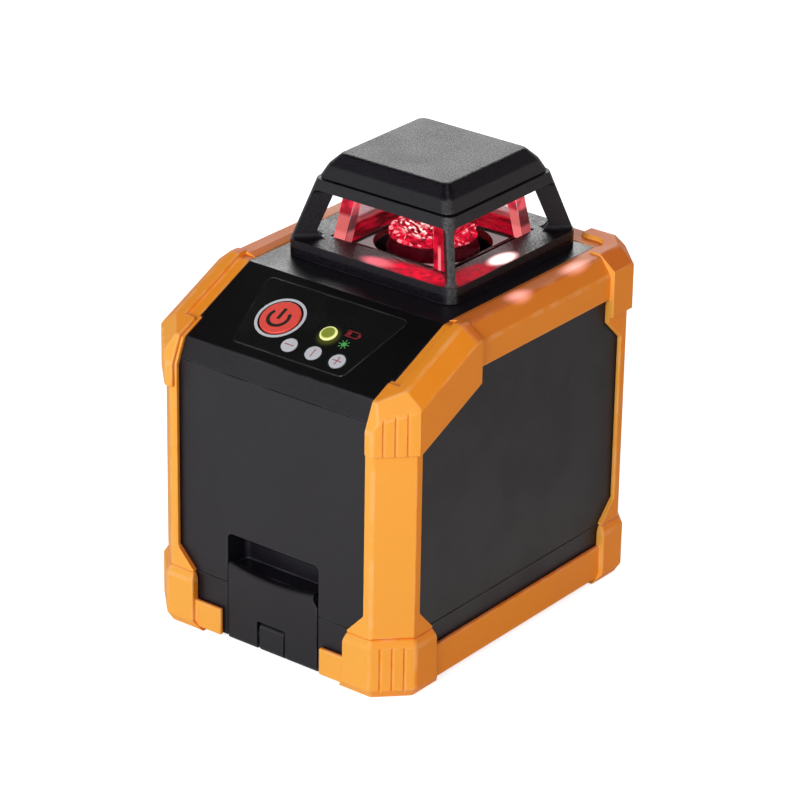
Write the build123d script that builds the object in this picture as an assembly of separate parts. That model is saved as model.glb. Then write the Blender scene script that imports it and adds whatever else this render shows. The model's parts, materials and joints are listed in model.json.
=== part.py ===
from build123d import *
import math
import os

# Self-levelling line laser with a 360 degree turret.
# Millimetres, +Z up, front towards -Y, origin under the middle of the feet.

# Black body
body_width = 92.0
corner_leg = 8.2
wall = 2.5
base_under_z = 1.5
base_seam_z = 19.5
cover_seam_z = 88.0
crease_setback = 2.7
crease_z = 94.4
deck_z = 108.3
slope_angle = 24.5
rear_edge_leg = 4.0
roof_leg_x = 5.4
roof_leg_z = 4.4
strip_overlap = 1.0

# Orange rubber
post_proud = 1.6
pad_proud = 3.0
strip_rise = 0.15
strip_inner_x = 36.5
ridge_inner_x = 39.2
ridge_outer_x = 43.8
ridge_rise = 1.0
pad_rise = 1.6
rebate = 1.6
post_margin = 10.4
flare_margin = 16.4
flare_low_z = 20.0
flare_high_z = 26.4
knuckle_low_z = 79.2
knuckle_inset = 0.6
knuckle_along_slope = 6.0
facet_front_z = 89.4
facet_side_z = 92.9
facet_top_setback = 4.4
pad_inner_x = 40.2
slope_band_x = 36.7
pad_end_y = -23.5
strip_low_z = 96.0
rear_knuckle_low_z = 90.3
rear_knuckle_margin = 17.2
rear_knuckle_width = 6.4
rear_knuckle_turn = 5.0
rear_facet_drop = 5.0
rear_facet_setback = 4.0
rear_flare_low_z = 81.4
rear_flare_high_z = 88.0
foot_margin = 17.2
foot_bevel = 2.0
foot_bevel_rise = 3.3
foot_top_drop = 2.4
toe_reach = 2.4
toe_rise = 3.6
low_strip_proud = 1.6
side_strip_low_z = 1.8
side_strip_high_z = 12.8
front_strip_low_z = 1.4
front_strip_high_z = 10.3
front_strip_gap = 1.5
groove_count = 3
groove_pitch = 3.6
groove_width = 0.7
groove_depth = 0.5

# Turret
turret_y = 16.0
ring_half = 31.7
ring_corner = 4.2
ring_rise = 5.5
turret_floor_rise = 2.7
floor_hole_radius = 17.5
cage_half_low = 31.5
cage_half_high = 25.8
rim_rise = 21.3
rim_height = 3.2
rim_inner_half = 19.3
cage_corner = 3.4
pillar_thickness = 2.4
pillar_depth = 6.8
pillar_flare = 1.8
pillar_flare_rise = 2.2
pillar_foot_round = 1.6
pane_half_low = 21.6
pane_lean = 8.5
pane_thickness = 4.5
pane_seat_depth = 1.8
pane_gap = 0.05
pane_clearance = 0.2
gasket_thickness = 0.6
gasket_width = 5.2
cap_gap = 0.3
cap_half_low = 25.2
cap_half_shoulder = 23.4
cap_half_top = 20.0
cap_skirt_height = 4.1
cap_shoulder_height = 3.6
cap_corner = 2.6
cap_top_corner = 1.2
plug_clearance = 0.3

# Control panel: x across, s up the slope from the top crease
overlay_half_top = 26.4
overlay_half_low = 20.6
overlay_top_s = -3.1
overlay_low_s = -29.6
overlay_corner = 2.0
overlay_thickness = 0.5
overlay_clearance = 0.1
power_x = -12.1
power_s = -16.5
power_radius = 6.45
power_proud = 0.4
power_travel = 0.8
power_stem_radius = 3.0
key_first_x = -2.6
key_pitch = 8.95
key_s = -24.7
key_radius = 2.6
key_proud = 0.12
key_travel = 0.5
key_stem_radius = 1.4
key_head_depth = 1.4
key_clearance = 0.3
collar_thickness = 0.8
collar_lip = 0.9
lamp_x = 6.0
lamp_s = -16.4
lamp_radius = 2.75
lamp_dome = 0.5
lamp_flange_depth = 2.0
led_radius = 2.1
led_gap = 0.8
board_width = 62.0
board_height = 28.0
board_thickness = 1.6
board_depth = 10.4
board_s = -17.0
switch_size = 6.0
switch_plunger = 0.6
switch_plunger_radius = 1.4
board_screw_radius = 1.0
board_screw_inset = 3.0
board_post_radius = 2.6

# Battery bay and door
door_half = 17.1
door_gap = 0.35
door_thickness = 2.6
door_low_z = 0.4
door_side_z = 26.6
door_middle_z = 24.7
door_toe_round = 1.6
door_lip_round = 1.5
door_notch_width = 1.5
door_notch_height = 4.8
hinge_radius = 3.0
hinge_rise = 4.0
hinge_pin_radius = 1.2
pin_clearance = 0.05
hinge_swing_gap = 0.4
lug_left = 5.0
lug_right = 4.3
lug_slot_left = 1.1
lug_slot_right = 0.4
lug_bevel = 0.6
lug_height = 4.9
lug_swing_gap = 0.7
pin_end_cover = 0.7
recess_top_z = 36.0
recess_depth = 9.0
recess_wall = 2.0
recess_turn = 6.5
recess_corner = 1.8
cell_radius = 7.2
cell_length = 50.5
cell_nub_radius = 2.6
cell_nub_length = 1.2
cell_pitch = 15.3
cell_z = 15.0
cell_clearance = 0.15
bay_half = 16.6
bay_rib = 1.6
bay_floor_thickness = 2.0
contact_thickness = 0.5
contact_gap = 0.4
contact_width = 26.0
contact_height = 10.0
spring_strip = 0.6
spring_width = 9.0
spring_height = 11.0
spring_clearance = 0.15
spring_room = 12.0

# Inner floor and gimbal
floor_low_z = 22.4
floor_thickness = 2.0
frame_plate_half_x = 28.0
frame_plate_half_y = 37.0
frame_plate_thickness = 3.0
upright_width = 22.0
upright_thickness = 5.0
upright_gap = 2.0
upright_over = 7.0
pivot_z = 84.0
ring_inner_half = 19.0
ring_bar = 6.0
ring_height = 9.0
roll_pin_radius = 2.0
roll_bearing_radius = 5.0
roll_bearing_width = 4.0
pitch_pin_radius = 1.5
pitch_bearing_radius = 4.0
pitch_bearing_width = 3.0
bearing_clearance = 0.03
seat_clearance = 0.01
head_half_x = 16.0
head_half_y = 13.0
head_height = 16.0
stem_radius = 9.0
stem_low_z = 46.0
neck_radius = 10.0
neck_height = 6.0
weight_radius = 14.0
weight_height = 11.4
plate_radius = 17.0
plate_thickness = 2.0
magnet_radius = 4.5
magnet_thickness = 2.8
magnet_circle = 10.5
laser_radius = 6.0
laser_length = 39.0
laser_over = 1.0
lens_radius = 4.0
lens_thickness = 2.3
holder_radius = 13.6
holder_bore_radius = 6.6
holder_top_z = 109.5
prism_radius = 13.0
prism_height = 7.1
prism_cone_depth = 5.6
prism_rim = 1.2
calibration_radius = 1.5
calibration_length = 6.0
calibration_x = 11.0
calibration_drop = 4.0

# Fasteners and fittings
case_screw_x = 37.0
case_screw_y = 36.0
case_screw_radius = 1.5
case_head_radius = 2.9
case_head_height = 2.4
case_head_sink = 3.0
case_boss_radius = 4.2
case_screw_grip = 11.0
cover_screw_x = 39.0
cover_screw_front_y = -16.0
cover_screw_rear_y = 45.0
cover_screw_radius = 1.25
cover_head_radius = 2.4
cover_head_height = 2.0
cover_post_radius = 3.2
cover_tab_thickness = 3.0
cover_tab_half = 4.5
cover_tab_z = 89.0
cover_screw_grip = 7.0
turret_screw_inset = 4.6
turret_screw_grip = 3.6
frame_screw_x = 24.0
frame_screw_inset = 4.0
frame_screw_radius = 1.5
frame_head_radius = 2.7
frame_head_height = 2.2
frame_boss_radius = 3.4
frame_boss_drop = 5.0
weight_screw_radius = 2.0
weight_head_radius = 3.4
weight_head_height = 1.8
weight_screw_grip = 8.0
screw_clearance = 0.03
insert_radius = 4.4
insert_bore_radius = 3.175
insert_boss_radius = 6.6
insert_top = 0.8
seal_inset = 0.75
seal_width = 1.0
seal_height = 0.9

# Derived places
half_x = body_width / 2
contact_room = contact_thickness + contact_gap
body_depth = door_thickness + contact_room + 2 * cell_length + spring_room + wall
half_y = body_depth / 2
crease_y = -half_y + crease_setback
slope_rad = math.radians(slope_angle)
slope_top_y = crease_y + (deck_z - crease_z) / math.tan(slope_rad)
side_seam_z = strip_low_z + strip_overlap
cover_wall = wall + rebate
slope_under_rise = deck_z - cover_wall / math.cos(slope_rad) - side_seam_z
cover_step_y = slope_top_y - slope_under_rise / math.tan(slope_rad) + strip_overlap
floor_top_z = floor_low_z + floor_thickness
hinge_y = -half_y + hinge_radius
hinge_z = door_low_z + hinge_rise
opening_half = door_half + door_gap
door_back_y = -half_y + door_thickness
bay_floor_z = cell_z - cell_radius - cell_clearance
holder_low_z = pivot_z + head_height / 2 + neck_height
weight_low_z = stem_low_z - weight_height
plate_low_z = weight_low_z - plate_thickness
frame_top_z = floor_top_z + frame_plate_thickness
upright_y = ring_inner_half + ring_bar + upright_gap
ring_top_z = deck_z + ring_rise
turret_floor_z = deck_z + turret_floor_rise
rim_low_z = deck_z + rim_rise
rim_high_z = rim_low_z + rim_height
cap_shoulder_z = rim_high_z + cap_skirt_height
cap_top_z = cap_shoulder_z + cap_shoulder_height
tall = 2 * cap_top_z
corners = [(sx, sy) for sx in (-1, 1) for sy in (-1, 1)]
panel = Plane(
    origin=(0, slope_top_y, deck_z),
    x_dir=(1, 0, 0),
    z_dir=(0, -math.sin(slope_rad), math.cos(slope_rad)),
)
slope_along = Plane(origin=panel.origin, x_dir=(1, 0, 0), z_dir=panel.y_dir)


def block(x0, x1, y0, y1, z0, z1):
    """Box between two corners."""
    centre = Pos((x0 + x1) / 2, (y0 + y1) / 2, (z0 + z1) / 2)
    return centre * Box(x1 - x0, y1 - y0, z1 - z0)


def rod(radius, z0, z1):
    """Upright cylinder on the local axis."""
    return Pos(0, 0, (z0 + z1) / 2) * Cylinder(radius, z1 - z0)


def tube(outer, inner, z0, z1):
    """Upright ring on the local axis."""
    return rod(outer, z0, z1) - rod(inner, z0, z1)


def rod_x(radius, x0, x1, y, z):
    """Cylinder along X."""
    return Pos((x0 + x1) / 2, y, z) * Rot(Y=90) * Cylinder(radius, x1 - x0)


def rod_y(radius, y0, y1, x, z):
    """Cylinder along Y."""
    return Pos(x, (y0 + y1) / 2, z) * Rot(X=90) * Cylinder(radius, y1 - y0)


def outline(points):
    """Face inside a closed run of points."""
    return make_face(Polyline(*points, close=True))


def prism_x(points, x0, x1):
    """Solid with a (y, z) outline from x0 to x1."""
    return extrude(Plane.YZ.offset(x0) * outline(points), amount=x1 - x0)


def prism_y(points, y0, y1):
    """Solid with an (x, z) outline from y0 to y1."""
    return extrude(Plane.XZ.offset(-y1) * outline(points), amount=y1 - y0)


def prism_z(face, z0, z1):
    """Solid with a plan outline from z0 to z1."""
    return extrude(Plane.XY.offset(z0) * face, amount=z1 - z0)


def octagon(side):
    """Plan of the body with its corners cut, moved outwards by side."""
    x = half_x + side
    y = half_y + side
    leg = corner_leg + side * (2 - math.sqrt(2))
    quarter = [(x, y - leg), (x - leg, y)]
    points = quarter + [(-a, b) for a, b in reversed(quarter)]
    points += [(-a, -b) for a, b in quarter]
    points += [(a, -b) for a, b in reversed(quarter)]
    return outline(points)


def offset_outline(points, distances):
    """Move each edge of an anticlockwise outline outwards by its own distance."""
    lines = []
    for (ax, ay), (bx, by) in zip(points, points[1:] + points[:1]):
        length = math.hypot(bx - ax, by - ay)
        nx = (by - ay) / length
        ny = (ax - bx) / length
        lines.append((nx, ny))
    moved = []
    for i, (px, py) in enumerate(points):
        (a, b), (c, d) = lines[i - 1], lines[i]
        first = a * px + b * py + distances[i - 1]
        second = c * px + d * py + distances[i]
        det = a * d - b * c
        moved.append(((first * d - b * second) / det, (a * second - first * c) / det))
    return moved


def body_form(side, top):
    """Body shape with its sides moved out by side and its roof by top."""
    profile = offset_outline(
        [
            (-half_y, -tall),
            (half_y, -tall),
            (half_y, deck_z - rear_edge_leg),
            (half_y - rear_edge_leg, deck_z),
            (slope_top_y, deck_z),
            (crease_y, crease_z),
            (-half_y, cover_seam_z),
        ],
        [0, side, side, top, top, (side + top) / 2, side],
    )
    x = half_x + side
    roof = [(x, top - tall), (x, top - roof_leg_z), (x - roof_leg_x, top)]
    roof += [(-a, b) for a, b in reversed(roof)]
    over_deck = prism_y([(a, b + deck_z) for a, b in roof], -tall, tall)
    over_slope = extrude(slope_along * outline([(a, -b) for a, b in roof]), amount=tall, both=True)
    form = prism_z(octagon(side), 0, tall) & prism_x(profile, -tall, tall)
    return form & over_deck & over_slope


def corner_zone(sx, sy, steps):
    """Upright corner zone whose margin from the faces changes with height: (margin, z) steps."""
    far = tall
    across = [(sx * (half_x - m), z) for m, z in steps]
    across += [(sx * far, steps[-1][1]), (sx * far, steps[0][1])]
    along = [(sy * (half_y - m), z) for m, z in steps]
    along += [(sy * far, steps[-1][1]), (sy * far, steps[0][1])]
    return prism_y(across, -far, far) & prism_x(along, -far, far)


def side_range(sx, near, far):
    """Sorted pair of x values on one side of the body."""
    return sorted((sx * near, sx * far))


def corner_grooves(sx, sy, z0, z1):
    """Row of upright grooves across a padded corner."""
    leg = corner_leg + pad_proud * (2 - math.sqrt(2))
    x = sx * (half_x + pad_proud - leg / 2)
    y = sy * (half_y + pad_proud - leg / 2)
    turn = math.degrees(math.atan2(sy, sx))
    place = Pos(x, y, (z0 + z1) / 2) * Rot(Z=turn)
    cuts = []
    for i in range(groove_count):
        shift = (i - (groove_count - 1) / 2) * groove_pitch
        cuts.append(place * Pos(0, shift, 0) * Box(2 * groove_depth, groove_width, z1 - z0))
    return cuts


def knuckle_facet(sx):
    """Waste beyond the leaning facet over a front corner."""
    x = half_x + pad_proud
    y = half_y + pad_proud
    leg = corner_leg + pad_proud * (2 - math.sqrt(2))
    front = Vector(sx * (x - leg), -y, facet_front_z)
    side = Vector(sx * x, leg - y, facet_side_z)
    top_y = crease_y + facet_top_setback
    top_z = crease_z + facet_top_setback * math.tan(slope_rad) + pad_rise / math.cos(slope_rad)
    top = Vector(sx * (x - roof_leg_x), top_y, top_z)
    outwards = (side - front).cross(top - front) * sx
    return beyond(front, outwards)


def rear_facet(sx):
    """Waste beyond the leaning facet over a rear corner."""
    leg = corner_leg + pad_proud * (2 - math.sqrt(2))
    low = Vector(sx * (half_x + pad_proud), half_y + pad_proud - leg, deck_z + pad_rise - rear_facet_drop)
    across = rear_facet_drop / math.sqrt(2)
    return beyond(low, Vector(sx * across, across, rear_facet_setback))


def beyond(point, outwards):
    """Block that lies wholly beyond a plane through a point."""
    return Plane(origin=point, z_dir=outwards).location * Pos(0, 0, half_x / 2) * Box(half_x, half_x, half_x)


def upper_bumper():
    """Rubber posts, knuckles, slope pads and top strips."""
    x_in = half_x - post_margin
    y_in = half_y - post_margin
    slope_rise = math.tan(slope_rad)
    knuckle_end_y = crease_y + knuckle_along_slope * math.cos(slope_rad)
    edge_end_z = knuckle_low_z + (pad_end_y - knuckle_end_y) * slope_rise
    slope_zone = [
        (knuckle_end_y, knuckle_low_z),
        (pad_end_y, edge_end_z),
        (pad_end_y, tall),
        (knuckle_end_y, tall),
    ]
    front_steps = [
        (flare_margin, base_seam_z),
        (flare_margin, flare_low_z),
        (post_margin, flare_high_z),
        (post_margin, tall),
    ]
    rear_steps = front_steps[:3] + [
        (post_margin, rear_flare_low_z),
        (rear_knuckle_margin, rear_flare_high_z),
        (rear_knuckle_margin, strip_low_z),
        (post_margin, strip_low_z),
        (post_margin, tall),
    ]
    thin = []
    thick = []
    for sx in (-1, 1):
        thin.append(corner_zone(sx, -1, front_steps))
        thin.append(corner_zone(sx, 1, rear_steps))
        thin.append(prism_x(slope_zone, *side_range(sx, slope_band_x, tall)))
        thin.append(block(*side_range(sx, strip_inner_x, tall), pad_end_y, tall, strip_low_z, tall))
        knuckle_x = side_range(sx, x_in + knuckle_inset, tall)
        thick.append(block(*knuckle_x, -tall, knuckle_end_y, knuckle_low_z, tall))
        thick.append(prism_x(slope_zone, *side_range(sx, pad_inner_x, tall)))
        rear_x = half_x - rear_knuckle_margin
        rear_y = half_y - rear_knuckle_margin
        inner_x = half_x - rear_knuckle_width
        inner_y = half_y - rear_knuckle_width
        ell = [(inner_x, rear_y), (inner_x, inner_y), (rear_x, inner_y)]
        ell += [(rear_x, tall), (tall, tall), (tall, rear_y)]
        face = outline([(sx * a, b) for a, b in ell])
        turn = face.vertices().sort_by_distance((sx * inner_x, inner_y, 0))[0]
        thick.append(prism_z(fillet(turn, rear_knuckle_turn), rear_knuckle_low_z, tall))
    thin.append(block(-half_x, half_x, y_in, tall, strip_low_z, tall))
    rubber = (body_form(post_proud, strip_rise) & thin[0].fuse(*thin[1:])) + (
        body_form(pad_proud, pad_rise) & thick[0].fuse(*thick[1:])
    )
    strip_z = deck_z + strip_rise
    ridge_z = deck_z + ridge_rise
    foot_z = strip_z - roof_leg_z
    profile = [(strip_inner_x, foot_z), (strip_inner_x, strip_z), (ridge_inner_x, ridge_z)]
    profile += [(ridge_outer_x, ridge_z), (half_x + post_proud, foot_z)]
    for sx in (-1, 1):
        rubber += prism_y([(sx * x, z) for x, z in profile], pad_end_y, y_in)
    rubber -= body_form(0, -rebate)
    cuts = []
    for sx in (-1, 1):
        cuts.append(knuckle_facet(sx))
        cuts.append(rear_facet(sx))
        cuts += corner_grooves(sx, -1, knuckle_low_z, crease_z)
        cuts += corner_grooves(sx, 1, rear_knuckle_low_z, deck_z)
    return rubber - cuts


def lower_bumper():
    """Rubber corner feet and the strips between them."""
    top_edge_z = base_seam_z - foot_top_drop
    feet = prism_z(octagon(pad_proud), foot_bevel_rise, top_edge_z)
    sole = octagon(pad_proud - foot_bevel)
    feet += loft([sole, Pos(0, 0, foot_bevel_rise) * octagon(pad_proud)], ruled=True)
    crown = [Pos(0, 0, top_edge_z) * octagon(pad_proud), Pos(0, 0, base_seam_z) * octagon(post_proud)]
    feet += loft(crown, ruled=True)
    steps = [
        (foot_margin + toe_reach, 0),
        (foot_margin, toe_rise),
        (foot_margin, top_edge_z),
        (flare_margin, base_seam_z),
    ]
    zones = [corner_zone(sx, sy, steps) for sx, sy in corners]
    feet &= zones[0].fuse(*zones[1:])
    strips = prism_z(octagon(low_strip_proud), side_strip_low_z, side_strip_high_z)
    strips -= block(-half_x, half_x, -tall, -half_y, 0, tall)
    front = prism_z(octagon(low_strip_proud), front_strip_low_z, front_strip_high_z)
    front &= block(-half_x, half_x, -tall, -half_y, 0, tall)
    front_inner = opening_half + front_strip_gap
    front -= block(-front_inner, front_inner, -tall, -half_y, 0, tall)
    rubber = feet + strips + front
    rubber -= prism_z(octagon(0), base_under_z, base_seam_z)
    cuts = []
    for sx, sy in corners:
        cuts += corner_grooves(sx, sy, 0, top_edge_z)
    return rubber - cuts


def case_screw_places():
    return [Pos(sx * case_screw_x, sy * case_screw_y, 0) for sx, sy in corners]


def frame_screw_places():
    y = frame_plate_half_y - frame_screw_inset
    return [Pos(sx * frame_screw_x, turret_y + sy * y, 0) for sx, sy in corners]


def cover_screw_places():
    rows = (cover_screw_front_y, cover_screw_rear_y)
    return [Pos(sx * cover_screw_x, y, 0) for sx in (-1, 1) for y in rows]


def turret_screw_places():
    away = ring_half - turret_screw_inset
    return [Pos(sx * away, turret_y + sy * away, 0) for sx, sy in corners]


def base_seal():
    """Gasket in the top edge of the base, open where the door is."""
    ring = octagon(-seal_inset) - octagon(-seal_inset - seal_width)
    seal = prism_z(ring, base_seam_z - seal_height, base_seam_z)
    open_half = opening_half + seal_inset
    return seal - block(-open_half, open_half, -tall, 0, 0, tall)


def base_shell():
    """Tray with the battery bay, hinge lug, tripod boss and screw bosses."""
    inside_z = base_under_z + wall
    shell = prism_z(octagon(0), base_under_z, base_seam_z) - prism_z(octagon(-wall), inside_z, tall)
    bay_out = bay_half + bay_rib
    rear_y = half_y - wall
    front_y = door_back_y + door_gap
    bay = block(-bay_out, bay_out, front_y, rear_y, inside_z, base_seam_z)
    bay -= block(-bay_half, bay_half, -tall, rear_y, bay_floor_z, tall)
    bay -= block(-bay_half, bay_half, -tall, tall, 0, bay_floor_z - bay_floor_thickness)
    shell += bay + Pos(0, turret_y, 0) * rod(insert_boss_radius, base_under_z, bay_floor_z)
    for place in case_screw_places():
        shell += place * rod(case_boss_radius, base_under_z, base_seam_z)
    swing_y = hinge_y + math.hypot(hinge_y - door_back_y, hinge_rise) + hinge_swing_gap
    swing_z = hinge_z + hinge_radius + hinge_swing_gap
    shell -= block(-opening_half, opening_half, -tall, front_y, 0, tall)
    shell -= block(-bay_out, bay_out, front_y, swing_y, 0, swing_z)
    lug_top = hinge_z + lug_height
    lug_outline = [
        (-half_y, door_low_z),
        (hinge_y, door_low_z),
        (swing_y, base_under_z),
        (swing_y + wall, base_under_z),
        (swing_y + wall, bay_floor_z),
        (front_y, bay_floor_z),
        (front_y, lug_top),
        (-half_y + lug_bevel, lug_top),
        (-half_y, lug_top - lug_bevel),
    ]
    lug = prism_x(lug_outline, -lug_left, lug_right)
    toe = lug.edges().filter_by(Axis.X).sort_by_distance((0, -half_y, door_low_z))[0]
    shell += fillet(toe, door_toe_round)
    shell -= rod_x(hinge_pin_radius + seat_clearance, -lug_left, lug_right, hinge_y, hinge_z)
    shell -= Pos(0, turret_y, 0) * rod(insert_radius + seat_clearance, 0, bay_floor_z)
    for place in case_screw_places():
        shell -= place * rod(case_screw_radius + screw_clearance, 0, tall)
        shell -= place * rod(case_head_radius + pin_clearance, 0, base_under_z + case_head_sink)
    return shell - base_seal()


def main_housing(rubber):
    """Body walls with the inner floor, the finger recess and the bosses."""
    shell = body_form(0, 0) - body_form(-wall, -cover_wall)
    zone = [
        (-tall, base_seam_z),
        (tall, base_seam_z),
        (tall, side_seam_z),
        (cover_step_y, side_seam_z),
        (cover_step_y, cover_seam_z),
        (-tall, cover_seam_z),
    ]
    shell &= prism_x(zone, -tall, tall)
    shell += prism_z(octagon(-wall), floor_low_z, floor_top_z)
    pocket_half = opening_half + recess_wall
    pocket_back = -half_y + recess_depth
    pocket_top = recess_top_z + recess_wall
    shell += block(
        -pocket_half, pocket_half, -half_y + wall, pocket_back + recess_wall, floor_low_z, pocket_top
    )
    for place in case_screw_places():
        shell += place * rod(case_boss_radius, base_seam_z, floor_top_z + case_screw_grip)
    for place in frame_screw_places():
        shell += place * rod(frame_boss_radius, floor_low_z - frame_boss_drop, floor_top_z)
    for place in cover_screw_places():
        reach = half_x - wall - cover_screw_x
        side = 1 if place.position.X > 0 else -1
        tab = block(
            *side_range(side, cover_screw_x - cover_tab_half, cover_screw_x + reach),
            place.position.Y - cover_tab_half,
            place.position.Y + cover_tab_half,
            cover_tab_z,
            cover_tab_z + cover_tab_thickness,
        )
        shell += tab - place * rod(cover_screw_radius + screw_clearance, 0, tall)
    scoop = block(-opening_half, opening_half, -tall, pocket_back, floor_top_z, recess_top_z)
    turn = scoop.edges().filter_by(Axis.X).sort_by_distance((0, pocket_back, recess_top_z))[0]
    scoop = fillet(turn, recess_turn)
    sides = [scoop.faces().sort_by(Axis.X)[i].edges().group_by(Axis.Z) for i in (0, -1)]
    shell -= fillet([edge for side in sides for group in side[1:] for edge in group], recess_corner)
    shell -= block(-opening_half, opening_half, -tall, door_back_y + door_gap, 0, floor_top_z)
    for place in case_screw_places():
        shell -= place * rod(case_screw_radius + screw_clearance, 0, floor_top_z + case_screw_grip - wall)
    for place in frame_screw_places():
        shell -= place * rod(frame_screw_radius + screw_clearance, 0, floor_top_z)
    return shell - rubber


def key_places():
    return [panel.location * Pos(key_first_x + i * key_pitch, key_s, 0) for i in range(3)]


power_place = panel.location * Pos(power_x, power_s, 0)
lamp_place = panel.location * Pos(lamp_x, lamp_s, 0)


def overlay_outline(grow):
    """Film outline on the panel, moved outwards by grow."""
    points = offset_outline(
        [
            (-overlay_half_low, overlay_low_s),
            (overlay_half_low, overlay_low_s),
            (overlay_half_top, overlay_top_s),
            (-overlay_half_top, overlay_top_s),
        ],
        [grow] * 4,
    )
    face = outline(points)
    return fillet(face.vertices(), overlay_corner + grow)


def board_screw_places():
    x = board_width / 2 - board_screw_inset
    s = board_height / 2 - board_screw_inset
    return [panel.location * Pos(sx * x, board_s + sy * s, 0) for sx, sy in corners]


def key(radius, stem, proud):
    """Round key with a stem and a collar that keeps it in the panel."""
    top = rod(radius, -key_head_depth, proud)
    top = chamfer(top.edges().group_by(Axis.Z)[-1], proud / 2)
    collar_top = -cover_wall - key_clearance
    body = top + rod(stem, collar_top - collar_thickness, -key_head_depth)
    return body + rod(stem + collar_lip, collar_top - collar_thickness, collar_top)


def key_hole(radius, stem, travel):
    """Stepped hole for a key: a well for its head and a bore for its stem."""
    well = rod(radius + key_clearance, -key_head_depth - travel - key_clearance, tall)
    return well + rod(stem + key_clearance, -tall / 4, 0)


def top_cover(rubber):
    """Front band, sloped panel and deck."""
    shell = body_form(0, 0) - body_form(-wall, -cover_wall)
    zone = [
        (-tall, cover_seam_z),
        (cover_step_y, cover_seam_z),
        (cover_step_y, side_seam_z),
        (tall, side_seam_z),
        (tall, tall),
        (-tall, tall),
    ]
    shell &= prism_x(zone, -tall, tall)
    under = deck_z - cover_wall
    for place in cover_screw_places():
        post_low = cover_tab_z + cover_tab_thickness
        bore_top = post_low + cover_screw_grip + wall
        shell += place * rod(cover_post_radius, post_low, under)
        shell -= place * rod(cover_screw_radius + screw_clearance, post_low, bore_top)
    for place in board_screw_places():
        shell += place * rod(board_post_radius, -board_depth, -cover_wall)
        shell -= place * rod(board_screw_radius + screw_clearance, -board_depth, -cover_wall)
    shell -= Pos(0, turret_y, 0) * rod(floor_hole_radius, 0, tall)
    for place in turret_screw_places():
        shell -= place * rod(cover_screw_radius + screw_clearance, 0, tall)
    shell -= extrude(panel.offset(-overlay_thickness) * overlay_outline(overlay_clearance), amount=tall)
    shell -= power_place * key_hole(power_radius, power_stem_radius, power_travel)
    for place in key_places():
        shell -= place * key_hole(key_radius, key_stem_radius, key_travel)
    shell -= lamp_place * rod(lamp_radius + seat_clearance, -lamp_flange_depth, tall)
    shell -= lamp_place * rod(led_radius + key_clearance, -tall / 4, 0)
    return shell - rubber


def keypad_overlay():
    """Printed film with holes for the keys and the lamp."""
    film = extrude(panel.offset(-overlay_thickness) * overlay_outline(0), amount=overlay_thickness)
    film -= power_place * rod(power_radius + key_clearance, -tall, tall)
    for place in key_places():
        film -= place * rod(key_radius + key_clearance, -tall, tall)
    return film - lamp_place * rod(lamp_radius + seat_clearance, -tall, tall)


def status_lens():
    """Lamp lens with a low dome, seated in the panel."""
    lens = rod(lamp_radius, -lamp_flange_depth, lamp_dome)
    return lamp_place * fillet(lens.edges().group_by(Axis.Z)[-1], lamp_dome * 0.9)


def status_led():
    """Lamp on the board under its lens."""
    top = -lamp_flange_depth - led_gap
    body = rod(led_radius, -board_depth, top)
    return lamp_place * fillet(body.edges().group_by(Axis.Z)[-1], led_radius * 0.8)


def control_board():
    """Circuit board that hangs from posts under the panel."""
    board = panel.location * Pos(0, board_s, -board_depth - board_thickness / 2) * Box(
        board_width, board_height, board_thickness
    )
    for place in board_screw_places():
        board -= place * rod(board_screw_radius + screw_clearance, -tall, 0)
    return board


def board_screws():
    """Screws that hold the board to its posts."""
    screws = []
    head_top = -board_depth - board_thickness
    for place in board_screw_places():
        shank = rod(board_screw_radius, head_top, -cover_wall - wall)
        head = rod(2 * board_screw_radius, head_top - board_screw_radius, head_top)
        screws.append(place * (shank + head))
    return Compound(screws)


def tact_switch(travel):
    """Small push switch whose plunger stands clear of the key's travel."""
    plunger_top = -cover_wall - 2 * key_clearance - collar_thickness - travel
    body_top = plunger_top - switch_plunger
    body = block(
        -switch_size / 2, switch_size / 2, -switch_size / 2, switch_size / 2, -board_depth, body_top
    )
    return body + rod(switch_plunger_radius, body_top, plunger_top)


def tact_switches():
    """One switch under each key."""
    switches = [power_place * tact_switch(power_travel)]
    switches += [place * tact_switch(key_travel) for place in key_places()]
    return Compound(switches)


def rounded_square(half, radius, z):
    return Pos(0, turret_y, z) * RectangleRounded(2 * half, 2 * half, radius)


def square_taper(half_low, radius_low, z_low, half_high, radius_high, z_high):
    """Square solid that tapers between two levels round the turret axis."""
    low = rounded_square(half_low, radius_low, z_low)
    high = rounded_square(half_high, radius_high, z_high)
    return loft([low, high], ruled=True)


def square_column(half, z0, z1):
    return block(-half, half, turret_y - half, turret_y + half, z0, z1)


def blade():
    """Plate across the turret along X whose two ends widen into the ring and the rim."""
    half = pillar_thickness / 2
    wide = half + pillar_foot_round + seat_clearance
    right = [(wide, deck_z), (wide, ring_top_z), (half, ring_top_z)]
    right += [(half, rim_low_z), (wide, rim_low_z), (wide, rim_high_z)]
    section = outline(right + [(-a, b) for a, b in reversed(right)])
    inner = [vertex for vertex in section.vertices() if abs(vertex.X) < wide - seat_clearance]
    return extrude(Plane.YZ * fillet(inner, pillar_foot_round), amount=2 * ring_half, both=True)


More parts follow.
